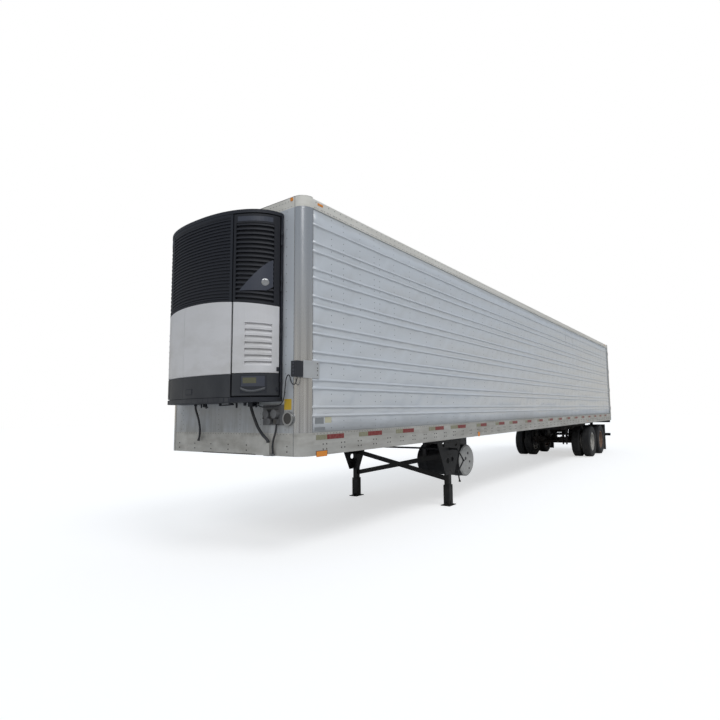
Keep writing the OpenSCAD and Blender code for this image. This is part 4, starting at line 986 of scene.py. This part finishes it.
for side in (-1, 1):
    for axle_y in axle_ys.values():
        y = (axle_y - NOSE) * 1000
        dampers += [((side * x0, y + y0, z0), (side * x1, y + y1, z1), r, n)
                    for x0, y0, z0, x1, y1, z1, r, n in (
                        (440, 60, 470, 440, 200, 720, 27, 16), (440, 200, 720, 440, 300, 900, 18, 16),
                        (400, 60, 470, 500, 60, 470, 14, 12), (330, -246, 595, 330, -214, 595, 86, 24),
                        (330, -120, 590, 330, -40, 575, 10, 10), (575, -10, 515, 640, -10, 515, 66, 24))]
for y in (12360, 14920):
    dampers.append(((-530, y, 985), (530, y, 985), 22, 16))
    dampers += [((side * 500, y, 1000), (side * 578, y, 1000), 17, 14) for side in (-1, 1)]
shape("dampers_and_reservoir", merged(rods(*dampers), blocks(((-60, 13480, 940), (60, 13720, 1000)))),
      axle_paint, "bogie")
flap_rubber = plain_finish("flap_rubber", (0.025, 0.025, 0.026), 0.7)
dirt_and_painted_light(flap_rubber, (0.13, 0.12, 0.10), 0, 1.2, 0.6, (5, 5, 3))
recoat("mud_flaps", flap_rubber)

# ---------------------------------------------------------------- wheels
# Twin steel disc wheels on each hub, with ten round hand holes, ten nuts and a screwed cap.
# The tyres have ribbed sidewalls and five rows of tread blocks, set by Geometry Nodes.
tread_tree = scatter_tree("tread_blocks", "GeometryNodeMeshCube", ("Size",), "NodeSocketVector", "X")
tyre_rubber = plain_finish("tyre_rubber", (0.016, 0.016, 0.018), 0.72)
dirt_and_painted_light(tyre_rubber, (0.075, 0.068, 0.058), 0.0, 1.3, 0.5, (5, 5, 5), 4.0, 0.05)
wheel_pale = plain_finish("rim_pale", (0.50, 0.49, 0.46), 0.5, 0.1)
dirt_and_painted_light(wheel_pale, (0.24, 0.20, 0.16), 0.0, 1.6, 0.75, (11, 11, 11), 2.0)
wheel_rusty = plain_finish("rim_rusty", (0.20, 0.12, 0.08), 0.7, 0.05)
dirt_and_painted_light(wheel_rusty, (0.34, 0.27, 0.22), 0.0, 1.6, 0.6, (9, 9, 9), 5.0)
TYRE_R, TYRE_W, TWIN = 0.500, 0.280, 0.1715
HUB_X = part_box("tyres_front_left")[1].x - TYRE_W / 2 - TWIN
TREAD_DEPTH, TREAD_BLOCKS, TREAD_SIZE = 0.0095, 60, (0.038, 0.044, 0.016)
tyre_profile = [(0.288, -0.0945), (0.304, -0.096), (0.316, -0.118), (0.346, -0.132), (0.352, -0.1345),
                (0.358, -0.133), (0.391, -0.1395), (0.420, -0.1385), (0.4225, -0.1398),
                (0.425, -0.138), (0.440, -0.128), (0.466, -0.1245), (0.470, -0.126),
                (0.474, -0.1235), (0.486, -0.117), (0.490, -0.106)]
tyre_profile += [(r, -w) for r, w in reversed(tyre_profile)]
TREAD_ROWS = (-0.088, -0.044, 0.0, 0.044, 0.088)
HAND_HOLES, HOLE_CIRCLE, HOLE_R = 10, 186, 25            # the last two in millimetres


def spokes(n, shift=0.0):
    """Evenly spaced directions round a wheel's axis."""
    for k in range(n):
        a = 2 * math.pi * (k + shift) / n
        yield Vector((0, math.cos(a), math.sin(a)))


def bolt_circle(centre, n, radius, side):
    """Spots for n bolts round a wheel's axis that look outwards."""
    return [(centre + out * radius, (side, 0, 0)) for out in spokes(n)]


for word, finish, slot_name in (("front", wheel_pale, "rim_steel"), ("rear", wheel_rusty, "rim_rusty")):
    axle_y = axle_ys[word]
    for side, hand in ((1, "left"), (-1, "right")):
        body = f"wheels_{word}_{hand}"
        carcass, spots = ([], []), []
        for twin in (-1, 1):
            middle = Vector((side * (HUB_X + twin * TWIN), axle_y, TYRE_R))
            turned(carcass, tyre_profile, middle, "x", 72)
            for row, w in enumerate(TREAD_ROWS):
                spots += [(middle + Vector((w, 0, 0)) + out * (TYRE_R - TREAD_DEPTH), out)
                          for out in spokes(TREAD_BLOCKS, 0.5 * (row % 2))]
        tyre = shape(f"tyre_carcasses_{word}_{hand}", carcass, tyre_rubber, body)
        tyre.data.shade_smooth()
        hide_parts(f"tyres_{word}_{hand}")
        grown(f"tread_{word}_{hand}", spots, {"Size": TREAD_SIZE, "Finish": tyre_rubber}, body,
              tread_tree)
        disc_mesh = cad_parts[f"hub_{word}_{hand}"].data.copy()
        wheel = linked(f"wheel_discs_{word}_{hand}", disc_mesh)
        work = bmesh.new()
        work.from_mesh(disc_mesh)
        bmesh.ops.remove_doubles(work, verts=work.verts, dist=MERGE)
        work.to_mesh(disc_mesh)
        work.free()
        drills = []
        for out in spokes(HAND_HOLES, 0.5):
            y, z = (axle_y - NOSE) * 1000 + HOLE_CIRCLE * out.y, TYRE_R * 1000 + HOLE_CIRCLE * out.z
            drills.append(((side * (HUB_X * 1000 - 30), y, z), (side * (HUB_X * 1000 + 30), y, z),
                           HOLE_R, 20))
        drill = closed("hand_holes", rods(*drills))
        cut = wheel.modifiers.new("hand_holes", "BOOLEAN")
        cut.operation = "DIFFERENCE"
        cut.object = drill
        ready = wheel.evaluated_get(bpy.context.evaluated_depsgraph_get())
        wheel.data = bpy.data.meshes.new_from_object(ready)
        wheel.modifiers.clear()
        bpy.data.objects.remove(drill)
        wheel.data.materials.clear()
        wheel.data.materials.append(finish)
        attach(wheel, body)
        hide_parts(f"hub_{word}_{hand}")
        nuts = bolt_circle(Vector((side * (HUB_X + 0.0115), axle_y, TYRE_R)), 10, 0.1429, side)
        grown(f"wheel_nuts_{word}_{hand}", nuts, stud(0.019, 0.0155, 0.034, finish), body)
        caps = bolt_circle(Vector((side * (HUB_X + 0.2095), axle_y, TYRE_R)), 8, 0.074, side)
        grown(f"hub_cap_bolts_{word}_{hand}", caps, stud(0.007, 0.006, 0.006, finish), body)

# ---------------------------------------------------------------- rear frame and doors
# A stainless portal with two insulated doors on four hinges each, held by lock rods with
# flat handles. Lamps sit in the sill and header, and tape marks the edges.
portal = plain_finish("rear_frame_steel", (0.55, 0.56, 0.57), 0.3, 0.85)
dirt_and_painted_light(portal, (0.30, 0.28, 0.25), 0.9, 3.0, 0.6, (4, 4, 1.5), 3.0)
door_paint = plain_finish("door_white", (0.66, 0.675, 0.70), 0.33, 0.0, 0.2)
dirt_and_painted_light(door_paint, (0.42, 0.40, 0.36), 1.2, 3.0, 0.7, (1.5, 1.5, 3), 5.0)
rippled(door_paint, 1.6, 0.003)
rod_zinc = plain_finish("rod_steel", (0.46, 0.47, 0.48), 0.35, 0.85)
dirt_and_painted_light(rod_zinc, (0.25, 0.19, 0.14), 1, 4, 0.5, (20, 20, 4))
recoat("rear_frame", portal)
recoat("hinge_brackets", rod_zinc)
recoat("door_keepers", rod_zinc)
recoat("dock_bumpers", plain_finish("dock_rubber", (0.022, 0.022, 0.022), 0.75))
gasket = plain_finish("door_gasket", (0.02, 0.02, 0.02), 0.7)
red_lens = plain_finish("red_lens", (0.45, 0.012, 0.012), 0.2, 0.0, 0.5)
BACKWARD = (0, 1, 0)
for side, hand in ((1, "left"), (-1, "right")):
    body = f"rear_door_{hand}"
    recoat(f"door_{hand}", door_paint)
    recoat(f"lock_rods_{hand}", rod_zinc)
    low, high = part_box(f"door_{hand}")
    a, b = sorted((side * 6, side * 1231))               # the leaf's edges
    z0, z1, inside = low.z * 1000, high.z * 1000, (low.y - NOSE) * 1000
    lining = [((a + 70, inside - 4, z0 + 70), (b - 70, inside + 1, z0 + 480)),
              ((a + 70, inside - 2.5, z0 + 480), (b - 70, inside + 1, z1 - 70))]
    lining += [((a + 70, inside - 5, z - 12), (b - 70, inside + 1, z + 12)) for z in (1900, 2500, 3100)]
    shape(f"door_lining_{hand}", blocks(*lining), floor_metal, body, edge=0.001)
    strips = [((x0, BACK - 2, p), (x1, BACK + 2.5, q)) for x0, x1, p, q in
              ((a, b, z0, z0 + 22), (a, b, z1 - 22, z1), (a, a + 20, z0 + 22, z1 - 22),
               (b - 20, b, z0 + 22, z1 - 22))]
    shape(f"door_gasket_{hand}", blocks(*strips), gasket, body)
    seams = [((a + 22, BACK - 1, z - 8), (b - 22, BACK + 2.2, z + 8)) for z in (1780, 2340, 2900, 3460)]
    seams.append(((a + 22, BACK - 1, z0 + 24), (b - 22, BACK + 1.6, z0 + 240)))
    shape(f"door_seams_{hand}", blocks(*seams), door_paint, body)
    pivots, grips = [], []
    for x in (side * 260, side * 760):
        keeper = x + side * 250
        pivots.append(((x, BACK + 26, 2090), (x - side * 20, BACK + 34, 2090), 15, 12))
        grips += [((x, BACK + 28, 2062), (x + side * 300, BACK + 38, 2096)),
                  ((keeper - 34, BACK, 2040), (keeper + 34, BACK + 28, 2118)),
                  ((x - 30, BACK, 2048), (x + 30, BACK + 12, 2132))]
    shape(f"door_handles_{hand}", merged(rods(*pivots), blocks(*grips)), rod_zinc, body,
          edge=0.002)
    spots = [((x / 1000, TAIL + 0.0025, z / 1000), BACKWARD)
             for x in np.linspace(a + 40, b - 40, 20) for z in (z0 + 12, z1 - 12)]
    spots += [((x, TAIL + 0.002, z), BACKWARD) for x in (a / 1000 + 0.03, b / 1000 - 0.03)
              for z in np.arange(low.z + 0.06, high.z - 0.04, 0.09)]
    grown(f"door_rivets_{hand}", spots, rail_rivet, body)
    for tape_name, finish, first in (("white", tape_white, 1), ("red", tape_red, 0)):
        tape = [((side * (60 + k * 290), BACK + 0.5, 1432), (side * (345 + k * 290), BACK + 3.2, 1482))
                for k in range(first, 4, 2)]
        shape(f"door_tape_{tape_name}_{hand}", blocks(*tape), finish, body)
GUARD_BACK = 16134                       # rear face of the underride guard's bar
header_reds = [((x - 42, BACK - 2, 4045), (x + 42, BACK + 12, 4078)) for x in (-160, 0, 160)]
reds, surrounds, tape_w = [], [], []
for side in (-1, 1):
    for x in (side * 560, side * 700, side * 840):
        reds.append(((x, BACK - 2, 1250), (x, BACK + 16, 1250), 50, 24, 44))
        surrounds.append(((x, BACK - 2, 1250), (x, BACK + 8, 1250), 60, 24))
    reds.append(((side * 1180, BACK - 2, 4030), (side * 1180, BACK + 12, 4030), 22, 16))
    tape_w += [((side * 1240, BACK - 1, 3700), (side * 1285, BACK + 1.5, 3990)),
               ((side * 980, BACK - 1, 4055), (side * 1240, BACK + 1.5, 4098))]
guard = [((x, GUARD_BACK - 1, 565), (x + 290, GUARD_BACK + 1.5, 615)) for x in range(-1160, 1160, 290)]
plate_frame = ((-170, BACK - 2, 1180), (170, BACK + 5, 1345))
blank_plate = ((-150, BACK + 4, 1188), (150, BACK + 7, 1338))
for title, stock, finish, edge in (
        ("tail_lamps", merged(rods(*reds), blocks(*header_reds)), red_lens, 0.002),
        ("tail_lamp_grommets", merged(rods(*surrounds), blocks(plate_frame)), dark_bolt, 0.0),
        ("rear_tape_white", blocks(*tape_w, *guard[1::2]), tape_white, 0.0),
        ("rear_tape_red", blocks(*guard[::2]), tape_red, 0.0),
        ("blank_rear_plate", blocks(blank_plate), plate_pale, 0.001)):
    shape(title, stock, finish, edge=edge)
